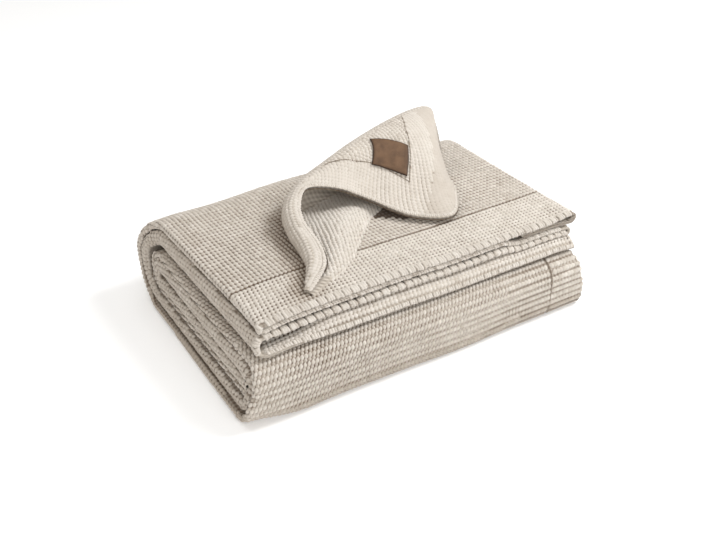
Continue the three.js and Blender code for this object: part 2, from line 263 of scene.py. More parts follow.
@dataclass
class FoldedCloth:
    """The cloth folded in four layers and wrapped, as a thin closed sheet.

    Fields are the wrap's runs, the points along a layer and round a fold, and the part of the
    thickness left to the stitches. Fields named for the hem, sag and curl shape the front hem, and
    slim_gap, tuck_ramp and right_inset the right end. Those named loose, puff, plug, fill and
    squareness shape the folds on the left. The swells make the stack uneven and raise its back edge,
    and floor_ramps ends them by the floor. Those named toe square its lower front bend, and those
    named round set its low left edge back.
    """

    runs: tuple[Run, ...] = WRAP
    layer_points: int = 44
    fold_points: int = 13
    relief: float = 1.3
    hem_fade: float = 80.0
    hem_drop: float = 4.0
    slim_gap: float = 0.8
    tuck_ramp: float = 26.0
    right_inset: float = 5.0
    floor_ramps: tuple[float, float] = (25.0, 16.0)
    swell: float = 1.1
    back_swell: float = 5.0
    back_middle: float = -30.0
    back_width: float = 80.0
    loose_width: float = 85.0
    loose_ramp: float = 60.0
    sag_width: float = 16.0
    hem_sag: float = 1.5
    hem_lift: float = 1.4
    puff: float = 1.3
    puff_width: float = 30.0
    curl: float = 3.0
    curl_width: float = 34.0
    plug: float = 3.0
    plug_in: tuple[float, float] = (10.0, 30.0)
    plug_out: tuple[float, float] = (-12.0, 20.0)
    fill: float = 6.5
    squareness: float = 0.85
    fill_run: tuple[float, float, float] = (40.0, 16.0, 46.0)
    fill_depth: float = 24.0
    fill_span: tuple[float, float] = (-190.0, -110.0)
    toe_power: float = 6.0
    toe_fade: tuple[float, float] = (-218.0, -150.0)
    round_height: float = 45.0
    round_depth: float = 5.0
    round_span: tuple[float, float] = (110.0, 200.0)
    spans: dict[Part, slice] = field(default_factory=dict)

    def __post_init__(self) -> None:
        """Finds where each part of the section starts and ends."""
        start = 0
        for part in Part:
            count = self.fold_points if part.name.endswith("FOLD") else self.layer_points
            self.spans[part] = slice(start, start + count)
            start += count

    @property
    def length(self) -> float:
        """Length of the wrap from the front hem to the inner hem."""
        return sum(run.distance for run in self.runs)

    def start(self, name: str) -> float:
        """Distance from the front hem at which a run starts."""
        names = [run.name for run in self.runs]
        return sum(run.distance for run in self.runs[: names.index(name)])

    def walk(self, distance: np.ndarray) -> tuple[np.ndarray, np.ndarray, np.ndarray]:
        """Follows the wrap's outer face.

        Args:
            distance: Distances from the front hem.

        Returns:
            The places along Y and Z, and the headings in radians.
        """
        y, z, heading = (np.zeros_like(distance, dtype=float) for _ in range(3))
        start = 0.0
        for i, run in enumerate(self.runs[:-1]):
            low = -math.inf if i == 0 else 0.0
            high = math.inf if i == len(self.runs) - 2 else run.distance
            along = np.clip(distance - start, low, high)
            if run.radius:
                end = heading - along / run.radius
                y = y + run.radius * (np.sin(heading) - np.sin(end))
                z = z + run.radius * (np.cos(end) - np.cos(heading))
                heading = end
            else:
                y = y + along * np.cos(heading)
                z = z + along * np.sin(heading)
            start += run.distance
        return y, z, heading

    def stack(self, distance: float) -> dict[str, float]:
        """The stack of layers at a place on the wrap.

        Args:
            distance: Distance from the front hem.

        Returns:
            Sizes of the stack by name.
        """
        start = 0.0
        index = 0
        for index, run in enumerate(self.runs[:-1]):
            if distance < start + run.distance or index == len(self.runs) - 2:
                break
            start += run.distance
        here = self.runs[index]
        after = self.runs[index + 1]
        share = float(smooth(distance - start, 0.0, here.distance))
        names = ("cloth", "gap_a", "gap_b", "gap_c", "left", "right", "tuck", "inset")
        sizes = {n: getattr(here, n) + (getattr(after, n) - getattr(here, n)) * share for n in names}
        fade = self.fade(distance)
        sizes["sag"] = max(0.0, 1.0 - max(distance, 0.0) / self.sag_width) ** 2
        sizes["curl"] = self.curl * fade**2
        sizes["puff"] = self.puff * (1.0 - float(self.on_floor(distance)))
        toe, core = self.start("toe"), self.start("upper core")
        bend = smooth(distance - toe, *self.plug_in) * (1.0 - smooth(distance - core, *self.plug_out))
        sizes["plug"] = self.plug * float(bend)
        return sizes

    def fade(self, distance: float) -> float:
        """1 at the front hem, falling to 0 behind it."""
        return float(np.clip(1.0 - distance / self.hem_fade, 0.0, 1.0))

    def on_floor(self, distance: np.ndarray) -> np.ndarray:
        """How far the outer layer lies on the floor.

        Args:
            distance: Distances from the front hem.

        Returns:
            1 on the floor, fading to 0 up the two bends.
        """
        low = self.start("floor")
        high = self.start("toe")
        back_ramp, front_ramp = self.floor_ramps
        return smooth(distance, low - back_ramp, low) * (1.0 - smooth(distance, high, high + front_ramp))

    def square_toe(self, distance: float) -> float:
        """Squares the lower front bend, which the weight of the stack presses down.

        Args:
            distance: Distance from the front hem.

        Returns:
            How far the cloth stands out there.
        """
        radius = next(run.radius for run in self.runs if run.name == "toe")
        turn = min(max((distance - self.start("toe")) / radius, 0.0), math.pi / 2)
        power = self.toe_power
        return radius * ((math.cos(turn) ** power + math.sin(turn) ** power) ** (-1.0 / power) - 1.0)

    def middle(self, stack: dict[str, float]) -> np.ndarray:
        """The middle of the cloth across the stack.

        Args:
            stack: Sizes of the stack.

        Returns:
            A row for each point: X, depth, the hem's stand-back and its drop.
        """
        cloth = stack["cloth"]
        first = cloth / 2
        second = first + cloth + stack["gap_a"]
        right_b = second + cloth + stack["gap_a"]
        left_c = second + cloth + stack["gap_b"]
        right_c = right_b + cloth + self.slim_gap
        loose = left_c + cloth + stack["gap_c"]
        close = right_c + cloth + self.slim_gap
        under = left_c + cloth + self.slim_gap
        under += (loose + self.hem_sag - under) * stack["sag"]
        level = {
            Part.TUCK: (second, second, second),
            Part.A: (first, first, first),
            Part.B: (second, second, right_b),
            Part.C: (left_c, left_c - self.hem_lift * stack["sag"], right_c),
            Part.D: (loose, under, max(close, under)),
        }
        ramp_end = stack["right"] - stack["tuck"] - 4.0
        loose_end = stack["left"] + self.loose_width

        def depth(part: Part, x: np.ndarray) -> np.ndarray:
            """Depth of a layer's middle.

            Args:
                part: Layer.
                x: Places along X.

            Returns:
                A depth for each place.
            """
            low, middle, high = level[part]
            near = low + (middle - low) * smooth(x, loose_end - self.loose_ramp, loose_end)
            flat = near + (high - near) * smooth(x, ramp_end - self.tuck_ramp, ramp_end)
            return flat + self.fullness(stack, part, x)

        def centre(edge: float, side: int, upper: Part, lower: Part) -> float:
            """Where a fold that reaches to an edge starts to turn."""
            end = 2 if side > 0 else 0
            return edge - side * (abs(level[upper][end] - level[lower][end]) / 2 + cloth / 2)

        folds = {
            Part.TUCK_FOLD: (Part.TUCK, Part.A, stack["right"], 1),
            Part.OUTER_FOLD: (Part.A, Part.B, stack["left"], -1),
            Part.RIGHT_FOLD: (Part.B, Part.C, stack["right"] - self.right_inset, 1),
            Part.INNER_FOLD: (Part.C, Part.D, stack["left"] + stack["inset"], -1),
        }
        middles = {p: centre(edge, side, upper, lower) for p, (upper, lower, edge, side) in folds.items()}
        last = stack["right"] - self.right_inset - cloth / 2
        ends = [stack["right"] - stack["tuck"], *middles.values(), last]
        rows = []
        layers = iter(zip(ends[:-1], ends[1:]))
        for part in Part:
            if part in folds:
                upper, lower, _, side = folds[part]
                share = np.linspace(0.0, 1.0, self.fold_points + 2)[1:-1]
                top = depth(upper, middles[part])
                bottom = depth(lower, middles[part])
                power = self.squareness if side < 0 else 1.0
                turn = np.cos(math.pi * share)
                x = middles[part] + side * abs(bottom - top) / 2 * np.sin(math.pi * share) ** power
                d = (top + bottom) / 2 + (top - bottom) / 2 * np.sign(turn) * np.abs(turn) ** power
                ease = LAYERS[upper].ease + (LAYERS[lower].ease - LAYERS[upper].ease) * share
                drop = LAYERS[upper].drop + (LAYERS[lower].drop - LAYERS[upper].drop) * share
            else:
                x = np.linspace(*next(layers), self.layer_points)
                d = depth(part, x)
                ease = np.full_like(x, LAYERS[part].ease)
                drop = np.full_like(x, LAYERS[part].drop)
            rows.append(np.stack((x, d, ease, drop), axis=1))
        return np.concatenate(rows)

    def fullness(self, stack: dict[str, float], part: Part, x: np.ndarray) -> np.ndarray:
        """How far a layer swells at the left folds and curls up at the right end of the front hem.

        Args:
            stack: Sizes of the stack.
            part: Layer.
            x: Places along X.

        Returns:
            Depths to add.
        """
        puff = stack["puff"]
        swollen = {Part.A: puff, Part.B: puff, Part.C: -puff, Part.D: puff + stack["plug"]}.get(part, 0.0)
        swell = swollen * (1.0 - smooth(x, stack["left"] + 6.0, stack["left"] + self.puff_width))
        roll = -1.0 if part is Part.A else 0.7
        right = stack["right"]
        return swell + roll * stack["curl"] * smooth(x, right - self.curl_width, right - 6.0)

    def crowd(self, x: np.ndarray, depth: np.ndarray, distance: float) -> np.ndarray:
        """How far the core's layers spread outwards at its left end, to fill the wrap's bend.

        Args:
            x: Places along X.
            depth: Depths in the stack.
            distance: Distance from the front hem.

        Returns:
            Depths to take away.
        """
        after_core, after_turn, fade = self.fill_run
        begin = self.start("upper core") + after_core
        fullest = self.start("core turn") + after_turn
        rise = smooth(distance, begin, fullest) * (1.0 - smooth(distance, fullest, fullest + fade))
        left = 1.0 - smooth(x, *self.fill_span)
        return self.fill * rise * left * np.clip(1.0 - depth / self.fill_depth, 0.0, 1.0)

    def face(self, distance: float, side: Side) -> np.ndarray:
        """One face of the folded section.

        Args:
            distance: Distance from the front hem.
            side: Face of the cloth.

        Returns:
            Rows as those of middle, moved to the face.
        """
        stack = self.stack(distance)
        rows = self.middle(stack)
        ahead = np.concatenate((rows[1:], rows[-1:]))
        behind = np.concatenate((rows[:1], rows[:-1]))
        run = ahead[:, :2] - behind[:, :2]
        relief = self.relief * (1.0 - self.on_floor(distance))
        half = stack["cloth"] / 2 - relief
        shift = side.value * half / np.linalg.norm(run, axis=1)
        rows[:, 0] -= shift * run[:, 1]
        rows[:, 1] += shift * run[:, 0]
        return rows

    def settle(self, x: np.ndarray, distance: np.ndarray) -> np.ndarray:
        """Soft unevenness of the stack in two crossing waves, and its raised back edge.

        Args:
            x: Places along X.
            distance: Distances from the front hem.

        Returns:
            Depths to add.
        """
        wave = np.sin(x / 43.0 + 0.8) * np.sin(distance / 57.0 + 0.5)
        ripple = np.sin(x / 21.0 - distance / 33.0) * np.cos(distance / 71.0 + x / 90.0)
        uneven = self.swell * (0.8 * wave + 0.45 * ripple + 0.3) * (1.0 - self.on_floor(distance))
        past = distance - self.start("back")
        rise = smooth(past, -90.0, 5.0) * (1.0 - smooth(past, 15.0, 90.0))
        spread = np.exp(-(((x - self.back_middle) / self.back_width) ** 2))
        return uneven - self.back_swell * rise * spread

    def spaced(self, rows: np.ndarray, distance: float) -> np.ndarray:
        """Puts points of the section in space.

        Args:
            rows: Rows as those of middle.
            distance: Distance from the front hem.

        Returns:
            Places, one a row.
        """
        x, depth, ease, drop = rows.T
        fade = self.fade(distance)
        y, z, heading = self.walk(distance + ease * fade)
        inward = depth + drop * self.hem_drop * fade * (np.minimum(x, 0.0) / self.runs[0].left) ** 4
        inward = inward + self.settle(x, np.full_like(x, distance)) - self.crowd(x, depth, distance)
        inward = inward - self.square_toe(distance) * smooth(x, *self.toe_fade)
        height = z - np.cos(heading) * inward
        low = np.clip(1.0 - (height + HEM_MIDDLE[2]) / self.round_height, 0.0, 1.0) ** 2
        x = x + self.round_depth * low * smooth(-x, *self.round_span)
        return np.stack((x, y + np.sin(heading) * inward, height), axis=1)

    def stations(self) -> np.ndarray:
        """The places along the wrap at which the section is set.

        Returns:
            Their distances from the front hem.
        """
        places = [0.0]
        for run in self.runs:
            start = self.start(run.name)
            places += [start + run.distance * (k + 1) / run.steps for k in range(run.steps)]
        return np.array(places)

    def lengths(self, rows: np.ndarray) -> np.ndarray:
        """Lengths along a section from the middle of layer A.

        Args:
            rows: Rows as those of middle.

        Returns:
            A length for each row.
        """
        run = np.hypot(np.diff(rows[:, 0]), np.diff(rows[:, 1]))
        along = np.concatenate(([0.0], np.cumsum(run)))
        span = self.spans[Part.A]
        return along - np.interp(0.0, rows[span, 0][::-1], along[span][::-1])

    def reach(self, side: Side, distance: float, first: Part, last: Part) -> tuple[float, float]:
        """Where along the section's length two of its parts start and end."""
        along = self.lengths(self.face(distance, side))
        return float(along[self.spans[first].start]), float(along[self.spans[last].stop - 1])

    def locate(self, side: Side, along: np.ndarray, distance: float) -> np.ndarray:
        """Places on a face of the cloth.

        Args:
            side: Face of the cloth.
            along: Lengths along the section from the middle of layer A.
            distance: Distance from the front hem.

        Returns:
            Places, one a row.
        """
        rows = self.face(distance, side)
        at = self.lengths(rows)
        picked = np.stack([np.interp(along, at, rows[:, k]) for k in range(4)], axis=1)
        return self.spaced(picked, distance)

    def frames(self, side: Side, along: np.ndarray, distance: float) -> tuple[np.ndarray, ...]:
        """Places on a face with the directions there.

        Args:
            side: Face of the cloth.
            along: Lengths along the section from the middle of layer A.
            distance: Distance from the front hem.

        Returns:
            Places, directions across and along the wrap, and outward normals.
        """
        place = self.locate(side, along, distance)
        right, left = (self.locate(side, along + step, distance) for step in (STEP, -STEP))
        after, before = (self.locate(side, along, distance + step) for step in (STEP, -STEP))
        across = unit(right - left)
        onward = unit(after - before)
        normal = unit(np.cross(onward, across)) * side.value
        return place, across, onward, normal

    def sheet(self) -> tuple[np.ndarray, np.ndarray, np.ndarray]:
        """The closed sheet.

        Returns:
            Places, faces of four corners, and a cloth coordinate for each place.
        """
        stations = self.stations()
        places = []
        charts = []
        for distance in stations:
            for side in Side:
                rows = self.face(distance, side)
                along = self.lengths(rows)
                order = slice(None) if side is Side.OUTER else slice(None, None, -1)
                places.append(self.spaced(rows, distance)[order])
                charts.append(np.stack((along, np.full_like(along, distance)), axis=1)[order])
        count = 2 * self.spans[Part.D].stop
        k, j = np.meshgrid(np.arange(len(stations) - 1), np.arange(count), indexing="ij")
        here = (k * count + j).ravel()
        beside = (k * count + (j + 1) % count).ravel()
        faces = [np.stack((here, here + count, beside + count, beside), axis=1)]
        across = np.arange(count // 2 - 1)
        facing = count - 1 - across
        faces.append(np.stack((across, across + 1, facing - 1, facing), axis=1))
        last = (len(stations) - 1) * count
        faces.append(last + np.stack((facing, facing - 1, across + 1, across), axis=1))
        return np.concatenate(places), np.concatenate(faces), np.concatenate(charts)


# Painted shade: in this outline under the turned-up corner the cloth is darkest and has no stitches.
SHADED_HOLLOW = (
    (1.0, 113.0),
    (22.0, 129.0),
    (56.0, 146.0),
    (112.0, 160.0),
    (112.0, 110.0),
    (76.0, 75.0),
    (33.0, 91.0),
)


@dataclass(frozen=True)
class CornerRow:
    """A section of the turned-up corner: crown, hem, depth of the bend, root and hump."""

    crown: tuple[float, float, float]
    hem: tuple[float, float, float]
    depth: float
    root: tuple[float, float]
    hump: float

    def numbers(self) -> list[float]:
        """All the sizes in one list."""
        return [*self.crown, *self.hem, self.depth, *self.root, self.hump]


CORNER = (
    CornerRow((-129, 18, 3.6), (-126, 15.5, 2.9), 2, (-123, 10), 0),
    CornerRow((-105, 46, 12), (-96, 37.5, 9), 6, (-86, 30), 3),
    CornerRow((-96.5, 71, 17.5), (-85, 66.5, 14.5), 8, (-63, 45), 7),
    CornerRow((-90, 108, 23), (-82, 107, 21), 9, (-42, 65), 11),
    CornerRow((-78, 136, 29), (-72, 133, 27), 11, (-21, 86), 12),
    CornerRow((-54, 154, 38), (-56, 147, 34), 14, (-2, 106), 8),
    CornerRow((-14, 167, 46), (-25, 135, 30), 16, (22, 120), 3),
    CornerRow((30, 181, 53), (2, 122, 17), 18, (52, 135), 0),
    CornerRow((70, 191, 58), (34, 80, 6), 20, (84, 150), 0),
    CornerRow((100, 197, 61), (73, 58, 5), 21, (108, 162), 0),
    CornerRow((120, 200, 62), (107, 97, 5), 22, (122, 170), 0),
    CornerRow((132, 201, 62), (122, 137, 7), 22, (131, 176), 0),
    CornerRow((140, 202, 60), (137, 183, 46), 22, (138, 180), 0),
)


@dataclass
class TurnedCorner:
    """The blanket's corner, turned up on top of the stack.

    A place on it is named by its row in the table and by its share of the way from hem to root. Fields
    are the table, the cloth's thickness and the part of it left to the stitches, the shares of the
    crown and the bend, the root's level, the shape of hump, face and foot, and the points of the mesh.
    """

    rows: tuple[CornerRow, ...] = CORNER
    cloth: float = 4.2
    relief: float = 0.9
    crown_share: float = 0.5
    bend_share: float = 0.8
    root_level: float = -4.0
    hump_lean: float = 2.0
    face_lean: float = 0.45
    face_lift: float = 0.1
    face_crown: float = 0.4
    bend_foot: float = 1.0
    thin_foot: float = 0.15
    thin_rows: float = 1.5
    row_points: int = 110
    share_points: int = 60

    @property
    def last(self) -> int:
        """Number of the last row."""
        return len(self.rows) - 1

    def row(self, t: np.ndarray) -> np.ndarray:
        """Sizes on a smooth curve through the table's rows.

        Args:
            t: Rows, which may lie between those of the table.

        Returns:
            A line of sizes for each.
        """
        table = np.array([r.numbers() for r in self.rows])
        i = np.clip(np.floor(t).astype(int), 0, self.last - 1)
        f = (t - i)[:, None]
        p, q, r, s = (table[np.clip(i + k, 0, self.last)] for k in (-1, 0, 1, 2))
        return q + 0.5 * f * (r - p + f * (2 * p - 5 * q + 4 * r - s + f * (3 * (q - r) + s - p)))

    def middle(self, t: np.ndarray, share: np.ndarray) -> np.ndarray:
        """Places on the middle of the cloth.

        Args:
            t: Rows.
            share: Shares of the way from hem to root.

        Returns:
            Places, one a row.
        """
        t = np.clip(t, 0.0, self.last)
        row = self.row(t)
        crown, hem = row[:, 0:3], row[:, 3:6]
        depth, root, hump = row[:, 6:7], row[:, 7:9], row[:, 9]
        ahead = self.row(np.minimum(t + 0.1, self.last))[:, :3]
        behind = self.row(np.maximum(t - 0.1, 0.0))[:, :3]
        run = ahead - behind
        back = unit(np.stack((-run[:, 1], run[:, 0], np.zeros(len(t))), axis=1))
        span = np.linalg.norm((hem - crown)[:, :2], axis=1)[:, None]
        low = hem + (crown - hem) * np.array((self.face_lean, self.face_lean, self.face_lift))
        high = crown - back * self.face_crown * span
        u = np.clip(share / self.crown_share, 0.0, 1.0)[:, None]
        face = (1 - u) ** 3 * hem + 3 * u * (1 - u) ** 2 * low + 3 * u * u * (1 - u) * high + u**3 * crown
        angle = math.pi * np.clip((share - self.crown_share) / (self.bend_share - self.crown_share), 0, 1)
        bend = crown + back * depth * np.sin(angle)[:, None]
        bend[:, 2] += (self.bend_foot - crown[:, 2]) * (1.0 - np.cos(angle)) / 2
        f = np.clip((share - self.bend_share) / (1.0 - self.bend_share), 0.0, 1.0)
        arm = np.zeros_like(crown)
        arm[:, :2] = crown[:, :2] + (root - crown[:, :2]) * f[:, None]
        arm[:, 2] = self.bend_foot + (self.root_level - self.bend_foot) * f**4
        arm[:, 2] += hump * np.sin(math.pi * f**self.hump_lean)
        on_face = (share <= self.crown_share)[:, None]
        on_bend = (share <= self.bend_share)[:, None]
        return np.where(on_face, face, np.where(on_bend, bend, arm))

    def half(self, t: np.ndarray) -> np.ndarray:
        """Half of the cloth's thickness under its stitches, thinner at the foot."""
        thin = self.thin_foot + (1.0 - self.thin_foot) * np.clip(t / self.thin_rows, 0.0, 1.0)
        return (self.cloth / 2 - self.relief) * thin

    def frames(
        self, t: np.ndarray, share: np.ndarray, side: Side = Side.OUTER
    ) -> tuple[np.ndarray, ...]:
        """Places on a face with the directions there.

        Args:
            t: Rows.
            share: Shares of the way from hem to root.
            side: Face of the cloth; the outer one shows on the flap.

        Returns:
            Places, directions along the rows, directions along the shares, and normals.
        """
        small = 0.004
        along = self.middle(t + 0.02, share) - self.middle(t - 0.02, share)
        after, before = np.minimum(share + small, 1.0), np.maximum(share - small, 0.0)
        over = self.middle(t, after) - self.middle(t, before)
        normal = unit(np.cross(along, over)) * side.value
        place = self.middle(t, share) + normal * self.half(t)[:, None]
        return place, unit(along), unit(over), normal

    def sheet(self) -> tuple[np.ndarray, np.ndarray, np.ndarray]:
        """The closed sheet of the corner.

        Returns:
            Places, faces of four corners, and a cloth coordinate for each place.
        """
        rows = np.linspace(0.0, self.last, self.row_points)
        shares = np.linspace(0.0, 1.0, self.share_points)
        t, share = (g.ravel() for g in np.meshgrid(rows, shares, indexing="ij"))
        faces_of = {side: self.frames(t, share, side)[0] for side in Side}
        shape = (self.row_points, self.share_points, 3)
        outer, inner = (faces_of[side].reshape(shape) for side in Side)
        ring = np.concatenate((outer, inner[:, ::-1]), axis=1)
        count = ring.shape[1]
        hem = travel(outer[:, 0])
        run = np.linalg.norm(np.diff(ring, axis=1), axis=2)
        width = np.concatenate((np.zeros((self.row_points, 1)), np.cumsum(run, axis=1)), axis=1)
        chart = np.stack(np.broadcast_arrays(hem[:, None], width), axis=2)
        k, j = np.meshgrid(np.arange(self.row_points - 1), np.arange(count), indexing="ij")
        here = (k * count + j).ravel()
        beside = (k * count + (j + 1) % count).ravel()
        faces = [np.stack((here, beside, beside + count, here + count), axis=1)]
        across = np.arange(count // 2 - 1)
        facing = count - 1 - across
        last = (self.row_points - 1) * count
        faces.append(np.stack((facing, facing - 1, across + 1, across), axis=1))
        faces.append(last + np.stack((across, across + 1, facing - 1, facing), axis=1))
        return ring.reshape(-1, 3), np.concatenate(faces), chart.reshape(-1, 2)


def shared_frame(place: np.ndarray) -> np.ndarray:
    """Places in the shared frame, in metres."""
    return (place + HEM_MIDDLE) * MM


def plain_mesh(name: str, place: np.ndarray, faces: np.ndarray) -> bpy.types.Object:
    """A linked object of the given places and faces.

    Args:
        name: Name of the object.
        place: Places, one a row.
        faces: Numbers of each face's places.

    Returns:
        The object, with its places in the shared frame.
    """
    mesh = bpy.data.meshes.new(name)
    mesh.from_pydata(shared_frame(place).tolist(), [], faces.tolist())
    mesh.update()
    piece = bpy.data.objects.new(name, mesh)
    bpy.context.scene.collection.objects.link(piece)
    return piece


def set_attribute(mesh: bpy.types.Mesh, name: str, kind: str, values: np.ndarray) -> None:
    """Writes a value for each point of a mesh under a name.

    Args:
        mesh: The mesh.
        name: Name of the attribute.
        kind: Type of the values.
        values: A value or a vector for each point.
    """
    layer = mesh.attributes.new(name, kind, "POINT")
    key = "value" if kind == "FLOAT" else "vector"
    layer.data.foreach_set(key, np.ascontiguousarray(values, dtype=np.float32).ravel())


class Tree:
    """A node tree with short calls for its nodes and links."""

    def __init__(self, tree: bpy.types.NodeTree) -> None:
        """Keeps the tree that nodes are added to."""
        self.tree = tree

    def add(self, kind: str, inputs: dict | None = None, **settings: object) -> bpy.types.Node:
        """Adds a node.

        Args:
            kind: Type of the node.
            inputs: For an input's name or number, a constant or an output to link it to.
            **settings: Properties of the node.

        Returns:
            The node.
        """
        node = self.tree.nodes.new(kind)
        for key, value in settings.items():
            setattr(node, key, value)
        for key, value in (inputs or {}).items():
            socket = node.inputs[key]
            if isinstance(value, bpy.types.NodeSocket):
                self.tree.links.new(value, socket)
            else:
                socket.default_value = value
        return node

    def math(self, operation: str, *values: object) -> bpy.types.NodeSocket:
        """The output of a math node."""
        return self.add("ShaderNodeMath", dict(enumerate(values)), operation=operation).outputs[0]

    def parts(self, vector: bpy.types.NodeSocket) -> bpy.types.bpy_prop_collection:
        """The outputs X, Y and Z of a vector."""
        return self.add("ShaderNodeSeparateXYZ", {"Vector": vector}).outputs

    def noise(self, place: bpy.types.NodeSocket, scale: float, detail: float) -> bpy.types.NodeSocket:
        """The value of a noise texture."""
        inputs = {"Vector": place, "Scale": scale, "Detail": detail}
        return self.add("ShaderNodeTexNoise", inputs).outputs["Fac"]

    def mix(self, share: bpy.types.NodeSocket, first: object, second: object) -> bpy.types.NodeSocket:
        """A colour between two, each a constant or an output."""
        inputs = {"Factor": share, "A": first, "B": second}
        return self.add("ShaderNodeMix", inputs, data_type="RGBA").outputs[2]

    def dress(
        self,
        skin: bpy.types.Node,
        colour: bpy.types.NodeSocket,
        height: bpy.types.NodeSocket,
        strength: float,
    ) -> None:
        """Gives a shader its colour and its bump.

        Args:
            skin: The shader.
            colour: Its colour.
            height: Height of the bump in metres.
            strength: Strength of the bump.
        """
        self.tree.links.new(colour, skin.inputs["Base Color"])
        bump = self.add("ShaderNodeBump", {"Height": height, "Distance": 1.0, "Strength": strength})
        self.tree.links.new(bump.outputs["Normal"], skin.inputs["Normal"])


def surface(name: str, values: dict[str, object]) -> tuple[bpy.types.Material, bpy.types.Node]:
    """A new material with constants set on its shader's own sockets.

    Args:
        name: Name of the material.
        values: Constants by the names of the sockets.

    Returns:
        The material and its shader.
    """
    made = bpy.data.materials.new(name)
    made.use_nodes = True
    skin = made.node_tree.nodes["Principled BSDF"]
    for key, value in values.items():
        skin.inputs[key].default_value = value
    return made, skin


@dataclass(frozen=True)
class KnitFinish:
    """Cream cotton yarn.

    Fields are the colours of its shaded and its bright parts, the depth of the fibres' bump in
    metres and, where the cloth has no modelled stitches, the depth of theirs, then the sheen, the
    strength and the fineness of the blotches, the fineness of the fibres, and the stitches' pitches.
    """

    name: str
    shade: tuple[float, float, float]
    bright: tuple[float, float, float]
    fibres: float = 0.00025
    stitches: float = 0.0
    sheen: float = 0.18
    blotching: float = 0.35
    blotches: float = 38.0
    fuzz: float = 1500.0
    wale: float = 4.75
    course: float = 5.5

    def material(self) -> bpy.types.Material:
        """Builds the yarn's material from its point attribute tone and the cloth's chart.

        Returns:
            The material.
        """
        values = {"Roughness": 0.92, "Specular IOR Level": 0.18, "Sheen Roughness": 0.55}
        made, skin = surface(self.name, {**values, "Sheen Weight": self.sheen})
        nodes = Tree(made.node_tree)
        tone = nodes.add("ShaderNodeAttribute", attribute_name="tone").outputs["Fac"]
        place = nodes.add("ShaderNodeTexCoord").outputs["Object"]
        blotch = nodes.math("SUBTRACT", nodes.noise(place, self.blotches, 3.0), 0.5)
        share = nodes.math("ADD", tone, nodes.math("MULTIPLY", blotch, self.blotching))
        height = nodes.math("MULTIPLY", nodes.noise(place, self.fuzz, 3.0), self.fibres)
        if self.stitches:
            chart = nodes.parts(nodes.add("ShaderNodeUVMap", uv_map="cloth").outputs["UV"])
            wales, rows = (
                nodes.math("SINE", nodes.math("MULTIPLY", chart[axis], 2 * math.pi / (pitch * MM)))
                for axis, pitch in (("X", self.wale), ("Y", self.course))
            )
            lattice = nodes.math("MULTIPLY", nodes.math("ADD", wales, rows), 0.25)
            height = nodes.math("ADD", height, nodes.math("MULTIPLY", lattice, self.stitches))
            # Painted light and shade: the lattice lightens the painted stitches and darkens the pits
            # between.
            share = nodes.math("ADD", share, nodes.math("MULTIPLY", lattice, 0.5))
        colour = nodes.mix(share, (*self.shade, 1.0), (*self.bright, 1.0))
        nodes.dress(skin, colour, height, 0.8)
        return made


@dataclass(frozen=True)
class LeatherFinish:
    """Bare tan leather with a fine grain, darker along its edges.

    Fields are its colours, the fineness of its blotches and of its grain, and the grain's depth in
    metres.
    """

    name: str
    tan: tuple[float, float, float]
    worn: tuple[float, float, float]
    edge: tuple[float, float, float]
    blotches: float = 95.0
    grain: float = 1300.0
    grain_depth: float = 0.00018

    def material(self) -> bpy.types.Material:
        """Builds the leather's material from its point attribute rim.

        Returns:
            The material.
        """
        made, skin = surface(self.name, {"Roughness": 0.62, "Specular IOR Level": 0.35})
        nodes = Tree(made.node_tree)
        place = nodes.add("ShaderNodeTexCoord").outputs["Object"]
        blotch = nodes.noise(place, self.blotches, 4.0)
        grain = nodes.add("ShaderNodeTexVoronoi", {"Vector": place, "Scale": self.grain})
        mixed = nodes.mix(blotch, (*self.tan, 1.0), (*self.worn, 1.0))
        rim = nodes.add("ShaderNodeAttribute", attribute_name="rim").outputs["Fac"]
        height = nodes.math("MULTIPLY", grain.outputs["Distance"], self.grain_depth)
        nodes.dress(skin, nodes.mix(rim, mixed, (*self.edge, 1.0)), height, 0.7)
        return made


# Painted shade: the ground's dark end darkens the pits between stitches and the shaded places of the
# cloth.
GROUND_AND_PAINTED_SHADE = KnitFinish("knit ground and painted shade", (0.13, 0.088, 0.058), (0.68, 0.62, 0.54), stitches=0.0009)
YARN = KnitFinish("knit yarn", (0.47, 0.413, 0.352), (0.735, 0.69, 0.634))
HEM_YARN = replace(YARN, name="hem yarn")
# Dark colour of the seam stitches, also used for the painted shadow line inside the corner's hem.
THREAD_AND_RIM_SHADOW = KnitFinish("seam thread", (0.16, 0.115, 0.08), (0.34, 0.275, 0.21))
LEATHER = LeatherFinish("tan leather", (0.035, 0.015, 0.005), (0.215, 0.117, 0.058), (0.04, 0.023, 0.015))


class StrandShape(Enum):
    """Shapes that a strand of yarn shows as."""

    BUMP = "bump"
    WRAP = "wrap"


